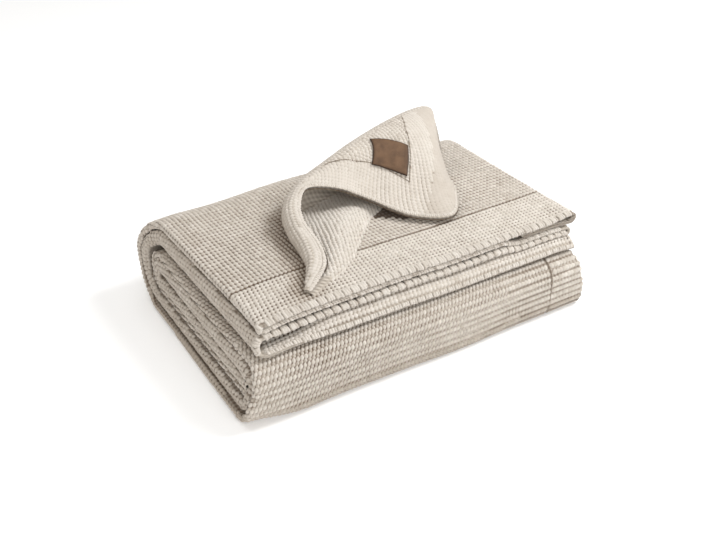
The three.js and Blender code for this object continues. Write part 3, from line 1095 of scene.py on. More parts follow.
@dataclass
class Strands:
    """Strands of yarn, one at each spot, set by a geometry node tree.

    Fields are the piece's name, the shape, the finish and the number of points along a strand. For
    wraps they are also the yarn's radius, the arc in degrees and its reach, rise and twist, and for
    bumps how far the outline is rounded, how deep the bump sits and how full it is. The last is how
    much strands differ in size.
    """

    name: str
    shape: StrandShape
    finish: bpy.types.Material
    yarn: float = 1.0
    steps: int = 5
    sweep: float = 215.0
    arch: tuple[float, float, float] = (4.0, 2.5, 1.0)
    rounding: float = 0.6
    sink: float = 0.12
    fullness: float = 0.55
    unevenness: float = 0.06

    def sizes(self) -> dict[str, float]:
        """Sizes of a strand.

        Returns:
            The sizes by the names of the tree's inputs.
        """
        if self.shape is StrandShape.BUMP:
            return {"Rounding": self.rounding, "Sink": self.sink, "Fullness": self.fullness}
        reach, rise, twist = (size * MM for size in self.arch)
        arch = {"Sweep": math.radians(self.sweep), "Reach": reach, "Rise": rise, "Twist": twist}
        return {"Radius": self.yarn * MM, **arch}

    def bump(self, nodes: Tree, given: bpy.types.bpy_prop_collection) -> bpy.types.NodeSocket:
        """A small half egg of unit size, from a grid.

        Args:
            nodes: Tree to add it to.
            given: The tree's inputs.

        Returns:
            Its geometry.
        """
        grid = nodes.add(
            "GeometryNodeMeshGrid",
            {"Size X": 2.0, "Size Y": 2.0, "Vertices X": self.steps, "Vertices Y": self.steps},
        )
        parts = nodes.parts(nodes.add("GeometryNodeInputPosition").outputs[0])
        square = {a: nodes.math("MULTIPLY", parts[a], parts[a]) for a in "XY"}
        rounding = given["Rounding"]

        def rounded(axis: str, other: str) -> bpy.types.NodeSocket:
            """A place along one axis, drawn in at the ends of the other."""
            inner = nodes.math("SUBTRACT", 1.0, nodes.math("MULTIPLY", square[other], rounding))
            return nodes.math("MULTIPLY", parts[axis], nodes.math("SQRT", inner))

        keep = {a: nodes.math("SUBTRACT", 1.0, square[a]) for a in "XY"}
        dome = nodes.math("POWER", nodes.math("MULTIPLY", keep["X"], keep["Y"]), given["Fullness"])
        height = nodes.math("SUBTRACT", dome, given["Sink"])
        egg = {"X": rounded("X", "Y"), "Y": rounded("Y", "X"), "Z": height}
        place = nodes.add("ShaderNodeCombineXYZ", egg).outputs[0]
        moved = nodes.add("GeometryNodeSetPosition", {"Geometry": grid.outputs[0], "Position": place})
        return moved.outputs[0]

    def tube(
        self, nodes: Tree, curve: bpy.types.NodeSocket, radius: bpy.types.NodeSocket
    ) -> bpy.types.NodeSocket:
        """A strand of yarn along a curve.

        Args:
            nodes: Tree to add it to.
            curve: The curve.
            radius: The yarn's radius.

        Returns:
            Its geometry.
        """
        ring = {"Resolution": 6, "Radius": radius}
        profile = nodes.add("GeometryNodeCurvePrimitiveCircle", ring)
        swept = nodes.add(
            "GeometryNodeCurveToMesh",
            {"Curve": curve, "Profile Curve": profile.outputs[0], "Fill Caps": True},
        )
        return swept.outputs[0]

    def strand(self, nodes: Tree, given: bpy.types.bpy_prop_collection) -> bpy.types.NodeSocket:
        """The shape that is repeated.

        Args:
            nodes: Tree to add it to.
            given: The tree's inputs.

        Returns:
            Its geometry.
        """
        if self.shape is StrandShape.BUMP:
            return self.bump(nodes, given)
        start = nodes.math("MULTIPLY", given["Sweep"], -0.5)
        angles = {"Start Angle": start, "Sweep Angle": given["Sweep"]}
        arc = nodes.add(
            "GeometryNodeCurveArc", {"Resolution": self.steps, "Radius": 1.0, **angles}
        )
        parts = nodes.parts(nodes.add("GeometryNodeInputPosition").outputs[0])
        shaped = nodes.add(
            "ShaderNodeCombineXYZ",
            {
                "X": nodes.math("MULTIPLY", parts["X"], given["Reach"]),
                "Y": nodes.math("MULTIPLY", parts["Y"], given["Rise"]),
                "Z": nodes.math("MULTIPLY", parts["Y"], given["Twist"]),
            },
        ).outputs[0]
        bent = nodes.add("GeometryNodeSetPosition", {"Geometry": arc.outputs[0], "Position": shaped})
        return self.tube(nodes, bent.outputs[0], given["Radius"])

    def tree(self) -> bpy.types.NodeTree:
        """Builds the geometry node tree with its named inputs.

        Returns:
            The tree.
        """
        group = bpy.data.node_groups.new(self.name, "GeometryNodeTree")
        inputs = {"Spots": "Geometry", "Unevenness": "Float", "Seed": "Int", "Yarn": "Material"}
        inputs.update(dict.fromkeys(self.sizes(), "Float"))
        for name, kind in inputs.items():
            group.interface.new_socket(name, in_out="INPUT", socket_type="NodeSocket" + kind)
        group.interface.new_socket("Strands", in_out="OUTPUT", socket_type="NodeSocketGeometry")
        nodes = Tree(group)
        given = nodes.add("NodeGroupInput").outputs

        def named(name: str) -> bpy.types.NodeSocket:
            """A vector attribute of the spots."""
            settings = {"data_type": "FLOAT_VECTOR"}
            return nodes.add("GeometryNodeInputNamedAttribute", {"Name": name}, **settings).outputs[0]

        primary, secondary = "ZX" if self.shape is StrandShape.BUMP else "XY"
        turned = nodes.add(
            "FunctionNodeAxesToRotation",
            {"Primary Axis": named("primary"), "Secondary Axis": named("secondary")},
            primary_axis=primary,
            secondary_axis=secondary,
        )
        low = nodes.math("SUBTRACT", 1.0, given["Unevenness"])
        high = nodes.math("ADD", 1.0, given["Unevenness"])
        limits = {2: low, 3: high, "Seed": given["Seed"]}
        chance = nodes.add("FunctionNodeRandomValue", limits, data_type="FLOAT").outputs[1]
        scaled = {0: named("size"), "Scale": chance}
        size = nodes.add("ShaderNodeVectorMath", scaled, operation="SCALE")
        placed = nodes.add(
            "GeometryNodeInstanceOnPoints",
            {
                "Points": given["Spots"],
                "Instance": self.strand(nodes, given),
                "Rotation": turned.outputs[0],
                "Scale": size.outputs[0],
            },
        )
        real = nodes.add("GeometryNodeRealizeInstances", {"Geometry": placed.outputs[0]})
        shaded = {"Geometry": real.outputs[0], "Shade Smooth": True}
        soft = nodes.add("GeometryNodeSetShadeSmooth", shaded)
        dyeing = {"Geometry": soft.outputs[0], "Material": given["Yarn"]}
        dyed = nodes.add("GeometryNodeSetMaterial", dyeing)
        nodes.add("NodeGroupOutput", {"Strands": dyed.outputs[0]})
        return group

    def piece(self, spots: Spots) -> bpy.types.Object:
        """Sets a strand at each spot and keeps the result as a plain mesh.

        Args:
            spots: Places, frames, sizes and tones of the strands.

        Returns:
            The piece, riding on the root body.
        """
        made = plain_mesh(self.name, spots.place, np.zeros((0, 4), int))
        set_attribute(made.data, "primary", "FLOAT_VECTOR", spots.normal)
        set_attribute(made.data, "secondary", "FLOAT_VECTOR", spots.along)
        scale = MM if self.shape is StrandShape.BUMP else 1.0
        set_attribute(made.data, "size", "FLOAT_VECTOR", spots.size * scale)
        set_attribute(made.data, "tone", "FLOAT", spots.tone)
        tree = self.tree()
        modifier = made.modifiers.new("strands", "NODES")
        modifier.node_group = tree
        values = {"Unevenness": self.unevenness, "Seed": SEED, "Yarn": self.finish, **self.sizes()}
        for item in tree.interface.items_tree:
            if item.in_out == "INPUT" and item.name in values:
                modifier[item.identifier] = values[item.name]
        graph = bpy.context.evaluated_depsgraph_get()
        grown = bpy.data.meshes.new_from_object(
            made.evaluated_get(graph), preserve_all_data_layers=True, depsgraph=graph
        )
        made.modifiers.clear()
        made.data = grown
        for name in ("primary", "secondary", "size"):
            if name in grown.attributes:
                grown.attributes.remove(grown.attributes[name])
        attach(made, "root")
        return made


@dataclass(frozen=True)
class HemStyle:
    """How a hem is overcast: strands in a period, their spacing, their size and their tone."""

    strands: int
    spacing: float
    size: tuple[float, float, float]
    tone: float


HEMS = {
    Part.TUCK: HemStyle(3, 2.95, (0.6, 0.5, 1.1), 0.5),
    Part.TUCK_FOLD: HemStyle(3, 2.95, (0.6, 0.55, 1.1), 0.55),
    Part.A: HemStyle(3, 2.6, (0.9, 0.95, 1.2), 0.62),
    Part.OUTER_FOLD: HemStyle(3, 2.7, (0.85, 0.85, 1.2), 0.6),
    Part.B: HemStyle(3, 2.8, (0.85, 0.75, 1.2), 0.56),
    Part.RIGHT_FOLD: HemStyle(3, 2.7, (0.8, 0.8, 1.2), 0.55),
    Part.C: HemStyle(3, 2.4, (0.85, 1.1, 1.2), 0.6),
    Part.INNER_FOLD: HemStyle(3, 2.7, (0.85, 0.9, 1.2), 0.58),
    Part.D: HemStyle(3, 2.7, (0.7, 0.8, 1.15), 0.6),
}
FLAP_HEM = HemStyle(4, 2.33, (0.5, 0.6, 0.85), 0.64)
LEFT_SEAM = ((5.8, 0.5), (6.12, 0.43), (6.62, 0.315), (7.18, 0.262), (7.65, 0.215), (8.12, 0.17))
RIGHT_SEAM = ((8.12, 0.17), (8.2, 0.265), (8.3, 0.35), (8.45, 0.43), (8.88, 0.5))


@dataclass(frozen=True)
class GroundTones:
    """Tones of the cloth under its stitches, from 0 for its darkest to 1, painting the shade in its pits.

    Fields are the tone of the top, that of the front at its left and how much lighter it gets to the
    right, where it does so, what the painted shades take away, how much lighter the left end and the
    hem are and how far each reaches, and the tone of the turned-up corner.
    """

    top: float = 0.14
    front: float = 0.18
    front_gain: float = 0.22
    front_span: tuple[float, float] = (-130.0, 10.0)
    shade: float = 0.14
    left_gain: float = 0.18
    left_reach: float = -168.0
    hem_gain: float = 0.25
    hem_width: float = 9.0
    corner: float = 0.65

    def over(self, place: np.ndarray, distance: np.ndarray, shade: np.ndarray) -> np.ndarray:
        """Tones of the wrapped cloth.

        Args:
            place: Places on it, one a row.
            distance: Their distances from the front hem.
            shade: How far they lie in a shade, from 0 to 1.

        Returns:
            The tones.
        """
        on_top = place[:, 2] > TOP_LEVEL
        front = self.front + self.front_gain * smooth(place[:, 0], *self.front_span)
        tone = np.where(on_top, self.top, front) - self.shade * shade
        tone += self.left_gain * (place[:, 0] < self.left_reach) * ~on_top
        tone += self.hem_gain * (distance < self.hem_width)
        # Painted shade: the cloth in the hollow under the turned-up corner gets its darkest tone.
        tone[within(place, SHADED_HOLLOW)] = 0.0
        return tone


@dataclass
class Blanket:
    """The whole blanket: its cloth with the turned-up corner, its stitches and its hems.

    Fields are the cloth's tones, the border's width, where the stitches start behind the hem, the
    place of the right border's seam along the section, where the front's stripes start and how far
    that place wanders, how far the front's stitches go on under the hems, the hem's period, the
    right end of the left ledge, the heading of the ribs inside the corner, and the length of a
    seam's stitch and of a dash of the painted shadow inside the corner's hem. Those named shade are
    the width of the painted shade beside the corner, how far it darkens the stitches and how far it
    parts them, and the height of the painted shade by the floor. Those named room are what stitches
    leave free behind the top's seam, beside the front's seam and above the floor. The last are the
    stretch of dotted knitting under the front hem, how far overcast strands sit inside an edge, and
    how far into the bends the front's seam starts and ends.
    """

    cloth: FoldedCloth = field(default_factory=FoldedCloth)
    corner: TurnedCorner = field(default_factory=TurnedCorner)
    noise: np.random.Generator = field(default_factory=lambda: np.random.default_rng(SEED))
    tones: GroundTones = GroundTones()
    border: float = 60.0
    hem: float = 7.6
    side_seam: float = -149.0
    stripes: float = -80.0
    stripe_swing: float = 32.0
    stripe_waves: float = 9.0
    core_lap: float = 30.0
    period: float = 9.3
    ledge: float = -160.0
    inside_heading: float = 17.7
    dash_step: float = 2.4
    shade_width: float = 16.0
    shade_depth: float = 0.85
    shade_gap: float = 0.28
    shade_height: float = 24.0
    seam_room: float = 3.4
    side_room: tuple[float, float] = (1.4, 1.8)
    floor_room: float = 2.0
    dotted: tuple[float, float] = (5.0, 48.0)
    hem_inset: float = 3.4
    seam_lap: float = 8.0

    def base(self) -> bpy.types.Object:
        """The cloth itself, one closed sheet with the corner's sheet joined to it.

        Returns:
            The piece, riding on the root body in place of the blanket's solid.
        """
        place, faces, chart = self.cloth.sheet()
        more, more_faces, more_chart = self.corner.sheet()
        places = np.concatenate((place, more))
        made = plain_mesh("blanket_cloth", places, np.concatenate((faces, more_faces + len(place))))
        mesh = made.data
        layer = mesh.uv_layers.new(name="cloth")
        corners = np.zeros(len(mesh.loops), dtype=np.int32)
        mesh.loops.foreach_get("vertex_index", corners)
        uv = np.concatenate((chart, more_chart))[corners] * MM
        layer.data.foreach_set("uv", uv.astype(np.float32).ravel())
        mesh.polygons.foreach_set("use_smooth", np.ones(len(mesh.polygons), dtype=bool))
        # The tones paint shade: in the pits, beside the corner, by the floor and in the hollow under the
        # corner.
        tone = self.tones.over(place, chart[:, 1], self.shade(place))
        tone = np.concatenate((tone, np.full(len(more), self.tones.corner)))
        set_attribute(mesh, "tone", "FLOAT", tone)
        mesh.materials.append(GROUND_AND_PAINTED_SHADE.material())
        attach(made, "root")
        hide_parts("blanket")
        return made

    def beside(self, place: np.ndarray) -> np.ndarray:
        """How far places lie in the soft shade beside the corner's rolled edge.

        Args:
            place: Places, one a row.

        Returns:
            0 outside the shade to 1 at the edge.
        """
        rows = np.linspace(0.2, 4.4, 60)
        line = self.corner.middle(rows, np.full(60, 0.6))[:, :2]
        apart = np.linalg.norm(place[:, None, :2] - line[None], axis=2).min(axis=1)
        return np.exp(-((apart / self.shade_width) ** 2)) * (place[:, 2] > TOP_LEVEL)

    def shade(self, place: np.ndarray) -> np.ndarray:
        """How far places lie in a soft shade, beside the corner or by the floor, from 0 to 1."""
        low = 1.0 - smooth(place[:, 2] + HEM_MIDDLE[2], 0.0, self.shade_height)
        return np.maximum(self.beside(place), low)

    def rows(
        self, side: Side, parts: tuple[Part, Part], span: tuple[float, float], kind: Stitch
    ) -> list[tuple[float, np.ndarray]]:
        """Rows of a lattice that keeps its spacing on the cloth's face.

        Args:
            side: Face of the cloth.
            parts: First and last part of the section.
            span: Distances from the front hem.
            kind: Kind of stitch.

        Returns:
            For each row its distance from the front hem and its lengths along the section.
        """
        tries = np.linspace(*span, max(2, round((span[1] - span[0]) / 2.5)))
        middles = [np.array((sum(self.cloth.reach(side, d, *parts)) / 2,)) for d in tries]
        line = np.concatenate([self.cloth.locate(side, m, d) for m, d in zip(middles, tries)])
        far = travel(line[:, 1:])
        found = []
        levels = np.arange(kind.start * kind.rise, far[-1], kind.rise)
        for k, distance in enumerate(np.interp(levels, far, tries)):
            start, end = self.cloth.reach(side, distance, *parts)
            shift = (k * kind.shift + kind.start) % 1.0
            first = math.ceil(start / kind.pitch - shift)
            last = math.floor(end / kind.pitch - shift)
            found.append((distance, (np.arange(first, last + 1) + shift) * kind.pitch))
        return found

    def patch(
        self,
        side: Side,
        parts: tuple[Part, Part],
        span: tuple[float, float],
        knit: Knit,
        keep: Callable[[np.ndarray, np.ndarray], np.ndarray] | None = None,
    ) -> Spots:
        """Stitches on a stretch of the wrap.

        Args:
            side: Face of the cloth.
            parts: First and last part of the section.
            span: Distances from the front hem.
            knit: Kind of knitting.
            keep: Test of places and lengths along the section, or nothing.

        Returns:
            The stitches that stand clear of the floor and pass the test.
        """
        groups = []
        for distance, along in self.rows(side, parts, span, knit.value):
            place, across, _, normal = self.cloth.frames(side, along, distance)
            spots = knit.value.spots(place, across, normal, self.noise)
            spots.tone = np.clip(spots.tone - self.shade_depth * self.shade(place), 0.0, 1.0)
            spots.size[:, :2] *= (1.0 - self.shade_gap * self.beside(place))[:, None]
            wanted = place[:, 2] > self.floor_room - HEM_MIDDLE[2]
            if keep is not None:
                wanted &= keep(place, along)
            groups.append(spots.kept(wanted))
        return Spots.join(groups)

    def stitched(self) -> dict[str, Spots]:
        """Stitches of all the faces of the wrap that can be seen.

        Returns:
            The stitches by the name of their piece.
        """
        starts = ("back", "toe", "upper core", "core turn")
        back, toe, core, turn = (self.cloth.start(name) for name in starts)
        core += self.core_lap
        end = self.cloth.length
        upper = (Part.TUCK_FOLD, Part.OUTER_FOLD)
        seam = self.side_seam
        room_left, room_right = self.side_room

        def outer(
            parts: tuple[Part, Part],
            span: tuple[float, float],
            knit: Knit,
            keep: Callable[[np.ndarray, np.ndarray], np.ndarray] | None = None,
        ) -> Spots:
            """Stitches on the outer face."""
            return self.patch(Side.OUTER, parts, span, knit, keep)

        def inner(part: Part, span: tuple[float, float], knit: Knit) -> Spots:
            """Stitches on one part of the inner face."""
            return self.patch(Side.INNER, (part, part), span, knit)

        def open_top(place: np.ndarray, along: np.ndarray) -> np.ndarray:
            """Whether places lie outside the painted shade of the hollow under the corner."""
            return ~within(place, SHADED_HOLLOW)

        def striped(place: np.ndarray, along: np.ndarray) -> np.ndarray:
            """Whether the front shows stripes, not slanted stitches, at places."""
            return along <= self.stripes + self.stripe_swing * np.sin(self.stripe_waves * place[:, 2])

        def slanted(place: np.ndarray, along: np.ndarray) -> np.ndarray:
            """Whether the front shows slanted stitches at places."""
            return ~striped(place, along)

        def stripes_to_seam(place: np.ndarray, along: np.ndarray) -> np.ndarray:
            """Whether places lie in the stripes and left of the right border's seam."""
            return (along > seam + room_left) & striped(place, along)

        def past_seam(place: np.ndarray, along: np.ndarray) -> np.ndarray:
            """Whether places lie right of the right border's seam."""
            return along < seam - room_right

        def on_ledge(place: np.ndarray, along: np.ndarray) -> np.ndarray:
            """Whether places lie on the ledge at the left end."""
            return place[:, 0] < self.ledge

        outer_fold = (Part.OUTER_FOLD, Part.OUTER_FOLD)
        inner_fold = (Part.INNER_FOLD, Part.INNER_FOLD)
        tuck_fold = (Part.TUCK_FOLD, Part.TUCK_FOLD)
        groups = {
            "stitches_top": [
                outer(upper, (self.border + self.seam_room, back), Knit.FIELD, open_top),
            ],
            "stitches_border": [
                outer(upper, (self.hem, self.border), Knit.BORDER),
                inner(Part.D, self.dotted, Knit.DOTTED),
            ],
            "stitches_back": [outer(upper, (back, toe), Knit.FIELD)],
            "stitches_front": [
                outer(upper, (toe, core), Knit.RIDGE, slanted),
                outer(upper, (toe, core), Knit.STRIPE, stripes_to_seam),
                outer(upper, (toe, core), Knit.EDGE, past_seam),
                outer(upper, (toe, core), Knit.VALLEY, slanted),
            ],
            "stitches_left_end": [
                outer((Part.A, Part.OUTER_FOLD), (core, turn), Knit.FOLD, on_ledge),
                outer(outer_fold, (turn, end), Knit.FOLD),
                outer(inner_fold, (self.hem, end), Knit.FOLD),
            ],
            "stitches_right_end": [
                outer(tuck_fold, (core, end), Knit.FOLD),
                inner(Part.RIGHT_FOLD, (self.hem, end), Knit.FOLD),
            ],
        }
        return {name: Spots.join(group) for name, group in groups.items()}

    def strip(
        self,
        rows: tuple[float, float],
        shares: tuple[float, float],
        side: Side,
        knit: Knit,
        swing: float = 0.0,
        keep: Callable[[np.ndarray, np.ndarray], np.ndarray] | None = None,
    ) -> Spots:
        """Stitches on a strip of the corner.

        Args:
            rows: First and last row.
            shares: First and last share of the way from hem to root.
            side: Face of the cloth.
            knit: Kind of knitting.
            swing: Angle in degrees by which the ribs turn away from the strip's length.
            keep: Test of rows and shares, or nothing.

        Returns:
            The stitches that pass the test.
        """
        long, wide = 400, 160
        t = np.linspace(*rows, long)
        s = np.linspace(*shares, wide)
        along = travel(self.corner.middle(t, np.full(long, sum(shares) / 2)))
        grid = self.corner.middle(np.repeat(t, wide), np.tile(s, long)).reshape(long, wide, 3)
        run = np.linalg.norm(np.diff(grid, axis=1), axis=2)
        width = np.concatenate((np.zeros((long, 1)), np.cumsum(run, axis=1)), axis=1)
        kind = knit.value
        turn = math.radians(swing)
        reach = along[-1] + width.max()
        steps = (np.arange(-reach, reach, kind.rise), np.arange(-reach, reach, kind.pitch))
        u, v = np.meshgrid(*steps, indexing="ij")
        far = (u * math.cos(turn) - v * math.sin(turn)).ravel()
        aside = (u * math.sin(turn) + v * math.cos(turn)).ravel()
        index = np.clip(np.searchsorted(along, far), 0, long - 1)
        inside = (far >= 0.0) & (far <= along[-1]) & (aside >= 0.0) & (aside <= width[index, -1])
        far, aside, index = far[inside], aside[inside], index[inside]
        row = np.interp(far, along, t)
        share = np.array([np.interp(a, width[i], s) for a, i in zip(aside, index)])
        place, onward, over, normal = self.corner.frames(row, share, side)
        ribs = unit(onward * math.cos(turn) + over * math.sin(turn))
        spots = kind.spots(place, unit(np.cross(ribs, normal)), normal, self.noise)
        return spots if keep is None else spots.kept(keep(row, share))

    def inside(self, shares: tuple[float, float], rows: tuple[float, float], knit: Knit) -> Spots:
        """Stitches in straight ribs, as seen from above, on the corner's inner face.

        Args:
            shares: First and last share of the way from hem to root.
            rows: First and last row.
            knit: Kind of knitting.

        Returns:
            The stitches.
        """
        steps = (np.linspace(*rows, 240), np.linspace(*shares, 60))
        row, share = (g.ravel() for g in np.meshgrid(*steps, indexing="ij"))
        plan = self.corner.middle(row, share)[:, :2]
        turn = math.radians(self.inside_heading)
        ribs = np.array((math.sin(turn), math.cos(turn), 0.0))
        wales = np.array((ribs[1], -ribs[0]))
        spread = np.stack((plan @ wales, plan @ ribs[:2]), axis=1)
        low, high = spread.min(axis=0), spread.max(axis=0)
        kind = knit.value
        wale_steps = np.arange(low[0], high[0], kind.pitch)
        grid = np.meshgrid(wale_steps, np.arange(low[1], high[1], kind.rise))
        wanted = np.stack([g.ravel() for g in grid], axis=1)
        near = [np.argmin(np.sum((spread - w) ** 2, axis=1)) for w in wanted]
        close = np.linalg.norm(spread[near] - wanted, axis=1) < kind.pitch / 3
        picked = np.array(near)[close]
        place, _, _, normal = self.corner.frames(row[picked], share[picked], Side.INNER)
        along = unit(ribs - normal * (normal @ ribs)[:, None])
        return kind.spots(place, unit(np.cross(along, normal)), normal, self.noise)

    def dark_dashes(
        self, place: np.ndarray, normal: np.ndarray, lift: float, width: float = 0.5
    ) -> Spots:
        """Dark stitches of a seam; the same dashes paint the shadow along the corner's rim.

        Args:
            place: A row of places on the cloth.
            normal: Outward normals there.
            lift: Height of the stitches above those places.
            width: Half of a stitch's width.

        Returns:
            A stitch for each place.
        """
        ahead = np.gradient(place, axis=0)
        size = np.tile((self.dash_step * 0.55, width, width), (len(place), 1))
        tone = np.clip(self.noise.normal(0.4, 0.3, len(place)), 0.0, 1.0)
        return Spots(place + normal * lift, normal, unit(ahead), size, tone)

    def seams_and_rim_shadow(self) -> Spots:
        """Thread along each seam between the border and the field, and dark dashes of painted shadow
        along the corner's rim.

        Returns:
            Their stitches.
        """
        groups = [self.corner_seam(seam) for seam in (LEFT_SEAM, RIGHT_SEAM)]
        groups += [self.rim_shadow_line(), self.top_seam(), self.front_seam()]
        return Spots.join(groups)

    def corner_seam(self, seam: tuple[tuple[float, float], ...]) -> Spots:
        """Thread of a seam on the turned-up corner.

        Args:
            seam: Rows and shares that it runs through.

        Returns:
            Its stitches.
        """
        points = np.arange(len(seam))
        at = np.linspace(0.0, len(seam) - 1.0, 200)
        row, share = (np.interp(at, points, column) for column in zip(*seam))
        far = travel(self.corner.middle(row, share))
        steps = np.arange(0.0, far[-1], self.dash_step)
        spots = (np.interp(steps, far, column) for column in (row, share))
        place, _, _, normal = self.corner.frames(*spots)
        return self.dark_dashes(place, normal, 0.85)

    def rim_shadow_line(self) -> Spots:
        """Painted shadow: the dark line inside the turned-up corner's hem.

        Returns:
            Its stitches.
        """
        share, count = 0.003, 900
        rim = np.linspace(0.8, 9.6, count)
        far = travel(self.corner.frames(rim, np.full(count, share), Side.INNER)[0])
        rim = np.interp(np.arange(0.0, far[-1], self.dash_step * 0.8), far, rim)
        place, _, over, normal = self.corner.frames(rim, np.full(len(rim), share), Side.INNER)
        # Painted shadow: dark dashes just inside the hem's edge on the inner face.
        return self.dark_dashes(place - over * 0.9, unit(normal - over), 0.3, 0.9)

    def top_seam(self) -> Spots:
        """Thread of the seam across the top.

        Returns:
            Its stitches.
        """
        level = self.border + 0.2
        start, end = self.cloth.reach(Side.OUTER, level, Part.A, Part.OUTER_FOLD)
        along = np.arange(start, end, 2 * self.dash_step)
        place, _, _, normal = self.cloth.frames(Side.OUTER, along, level)
        return self.dark_dashes(place, normal, 0.9, 0.6)

    def front_seam(self) -> Spots:
        """Thread of the seam down the right of the front.

        Returns:
            Its stitches.
        """
        first = self.cloth.start("toe") + self.seam_lap
        last = self.cloth.start("upper core") + self.seam_lap
        along = np.array((self.side_seam,))
        down = np.arange(first, last, self.dash_step)
        spots = [self.cloth.frames(Side.OUTER, along, distance) for distance in down]
        place, normal = (np.concatenate([spot[k] for spot in spots]) for k in (0, 3))
        return self.dark_dashes(place, normal, 1.0)

    def flap(self) -> Spots:
        """Stitches on the turned-up corner.

        Returns:
            The stitches.
        """
        left_row, left_share = zip(*LEFT_SEAM)
        right_row, right_share = zip(*RIGHT_SEAM)

        def in_field(t: np.ndarray, share: np.ndarray) -> np.ndarray:
            """Whether places lie in the field."""
            above = share > np.interp(t, left_row, left_share, left=0.5, right=0.17)
            return above & (t < np.interp(share, right_share, right_row))

        def in_border(t: np.ndarray, share: np.ndarray) -> np.ndarray:
            """Whether places lie in the ribbed part of the border."""
            return ~in_field(t, share) & (t < 8.3 + 3.0 * share)

        def beyond(t: np.ndarray, share: np.ndarray) -> np.ndarray:
            """Whether places lie in the plain part of the border."""
            return ~in_field(t, share) & ~in_border(t, share)

        face = ((5.2, 11.9), (0.012, 0.5), Side.OUTER)
        return Spots.join(
            [
                self.strip((0.12, 5.2), (0.06, 0.5), Side.OUTER, Knit.RIB),
                self.strip(*face, Knit.RIB_FIELD, 90.0, in_field),
                self.strip(*face, Knit.RIB, 90.0, in_border),
                self.strip(*face, Knit.PLAIN, 90.0, beyond),
                self.strip((0.3, 11.9), (0.5, 0.8), Side.OUTER, Knit.RIB_FIELD, 90.0),
                self.inside((0.8, 0.995), (0.8, 7.0), Knit.INSIDE),
            ]
        )

    def wraps(
        self, centre: np.ndarray, outward: np.ndarray, normal: np.ndarray, style: HemStyle
    ) -> Spots:
        """Overcast strands on an edge.

        Args:
            centre: Places on the edge.
            outward: Directions away from the cloth there.
            normal: Normals of the cloth there.
            style: Size and tone of the strands.

        Returns:
            The strands.
        """
        count = len(centre)
        size = np.array(style.size) * (1.0 + self.noise.normal(0.0, 0.05, (count, 3)))
        tone = np.clip(style.tone + self.noise.normal(0.0, 0.12, count), 0.0, 1.0)
        return Spots(centre, unit(outward), normal, size, tone)

    def bunched(self, length: float, style: HemStyle) -> np.ndarray:
        """Places of strands that are bunched in each period of the hem.

        Args:
            length: Length of the edge.
            style: Strands in a period and their spacing.

        Returns:
            Distances of the strands along the edge.
        """
        bunch = (np.arange(style.strands) - (style.strands - 1) / 2) * style.spacing
        middles = self.period * (np.arange(math.floor(length / self.period)) + 0.5)
        return (middles[:, None] + bunch[None]).ravel()

    def hem_row(self) -> Spots:
        """Overcast yarn round the front hems of all the layers.

        Returns:
            The strands.
        """
        half = self.cloth.stack(0.0)["cloth"] / 2 - self.cloth.relief
        groups = []
        for part, style in HEMS.items():
            start, end = self.cloth.reach(Side.OUTER, 0.0, part, part)
            along = start + self.bunched(end - start, style)
            place, _, onward, normal = self.cloth.frames(Side.OUTER, along, 0.4)
            centre = place - normal * half + onward * self.hem_inset
            groups.append(self.wraps(centre, -onward, normal, style))
        return Spots.join(groups)

    def edge_row(self) -> Spots:
        """Overcast yarn along the free right edge of the last layer.

        Returns:
            The strands.
        """
        groups = []
        for distance in self.bunched(self.cloth.length - 6.0, HEMS[Part.D]) + 3.0:
            _, end = self.cloth.reach(Side.OUTER, distance, Part.D, Part.D)
            inset = np.array((end - self.hem_inset,))
            spot, across, _, normal = self.cloth.frames(Side.OUTER, inset, distance)
            half = self.cloth.stack(distance)["cloth"] / 2 - self.cloth.relief
            groups.append(self.wraps(spot - normal * half, across, normal, HEMS[Part.D]))
        return Spots.join(groups)

    def corner_hem(self) -> Spots:
        """Overcast yarn round the turned-up corner's hem.

        Returns:
            The strands.
        """
        count = 900
        t = np.linspace(0.35, self.corner.last - 0.1, count)
        along = travel(self.corner.middle(t, np.zeros(count)))
        where = np.interp(self.bunched(along[-1], FLAP_HEM), along, t)
        place, onward, over, normal = self.corner.frames(where, np.full(len(where), 0.004))
        outward = unit(np.cross(onward, normal))
        outward *= np.sign(np.sum(outward * -over, axis=1, keepdims=True))
        centre = place - normal * self.corner.half(where)[:, None] - outward * 2.6
        return self.wraps(centre, outward, normal, FLAP_HEM)

    def build(self) -> list[bpy.types.Object]:
        """Makes all the pieces of the blanket.

        Returns:
            The cloth, then the pieces on it.
        """
        cloth = self.base()
        yarn = YARN.material()
        hem_yarn = HEM_YARN.material()
        stitches = self.stitched()
        stitches["stitches_corner"] = self.flap()
        pieces = [Strands(name, StrandShape.BUMP, yarn).piece(spots) for name, spots in stitches.items()]
        wraps = Spots.join([self.hem_row(), self.edge_row(), self.corner_hem()])
        pieces.append(Strands("overcast_hem", StrandShape.WRAP, hem_yarn, 1.4, 7).piece(wraps))
        dark_lines = Strands("seams_and_rim_shadow", StrandShape.BUMP, THREAD_AND_RIM_SHADOW.material())
        pieces.append(dark_lines.piece(self.seams_and_rim_shadow()))
        return [cloth, *pieces]


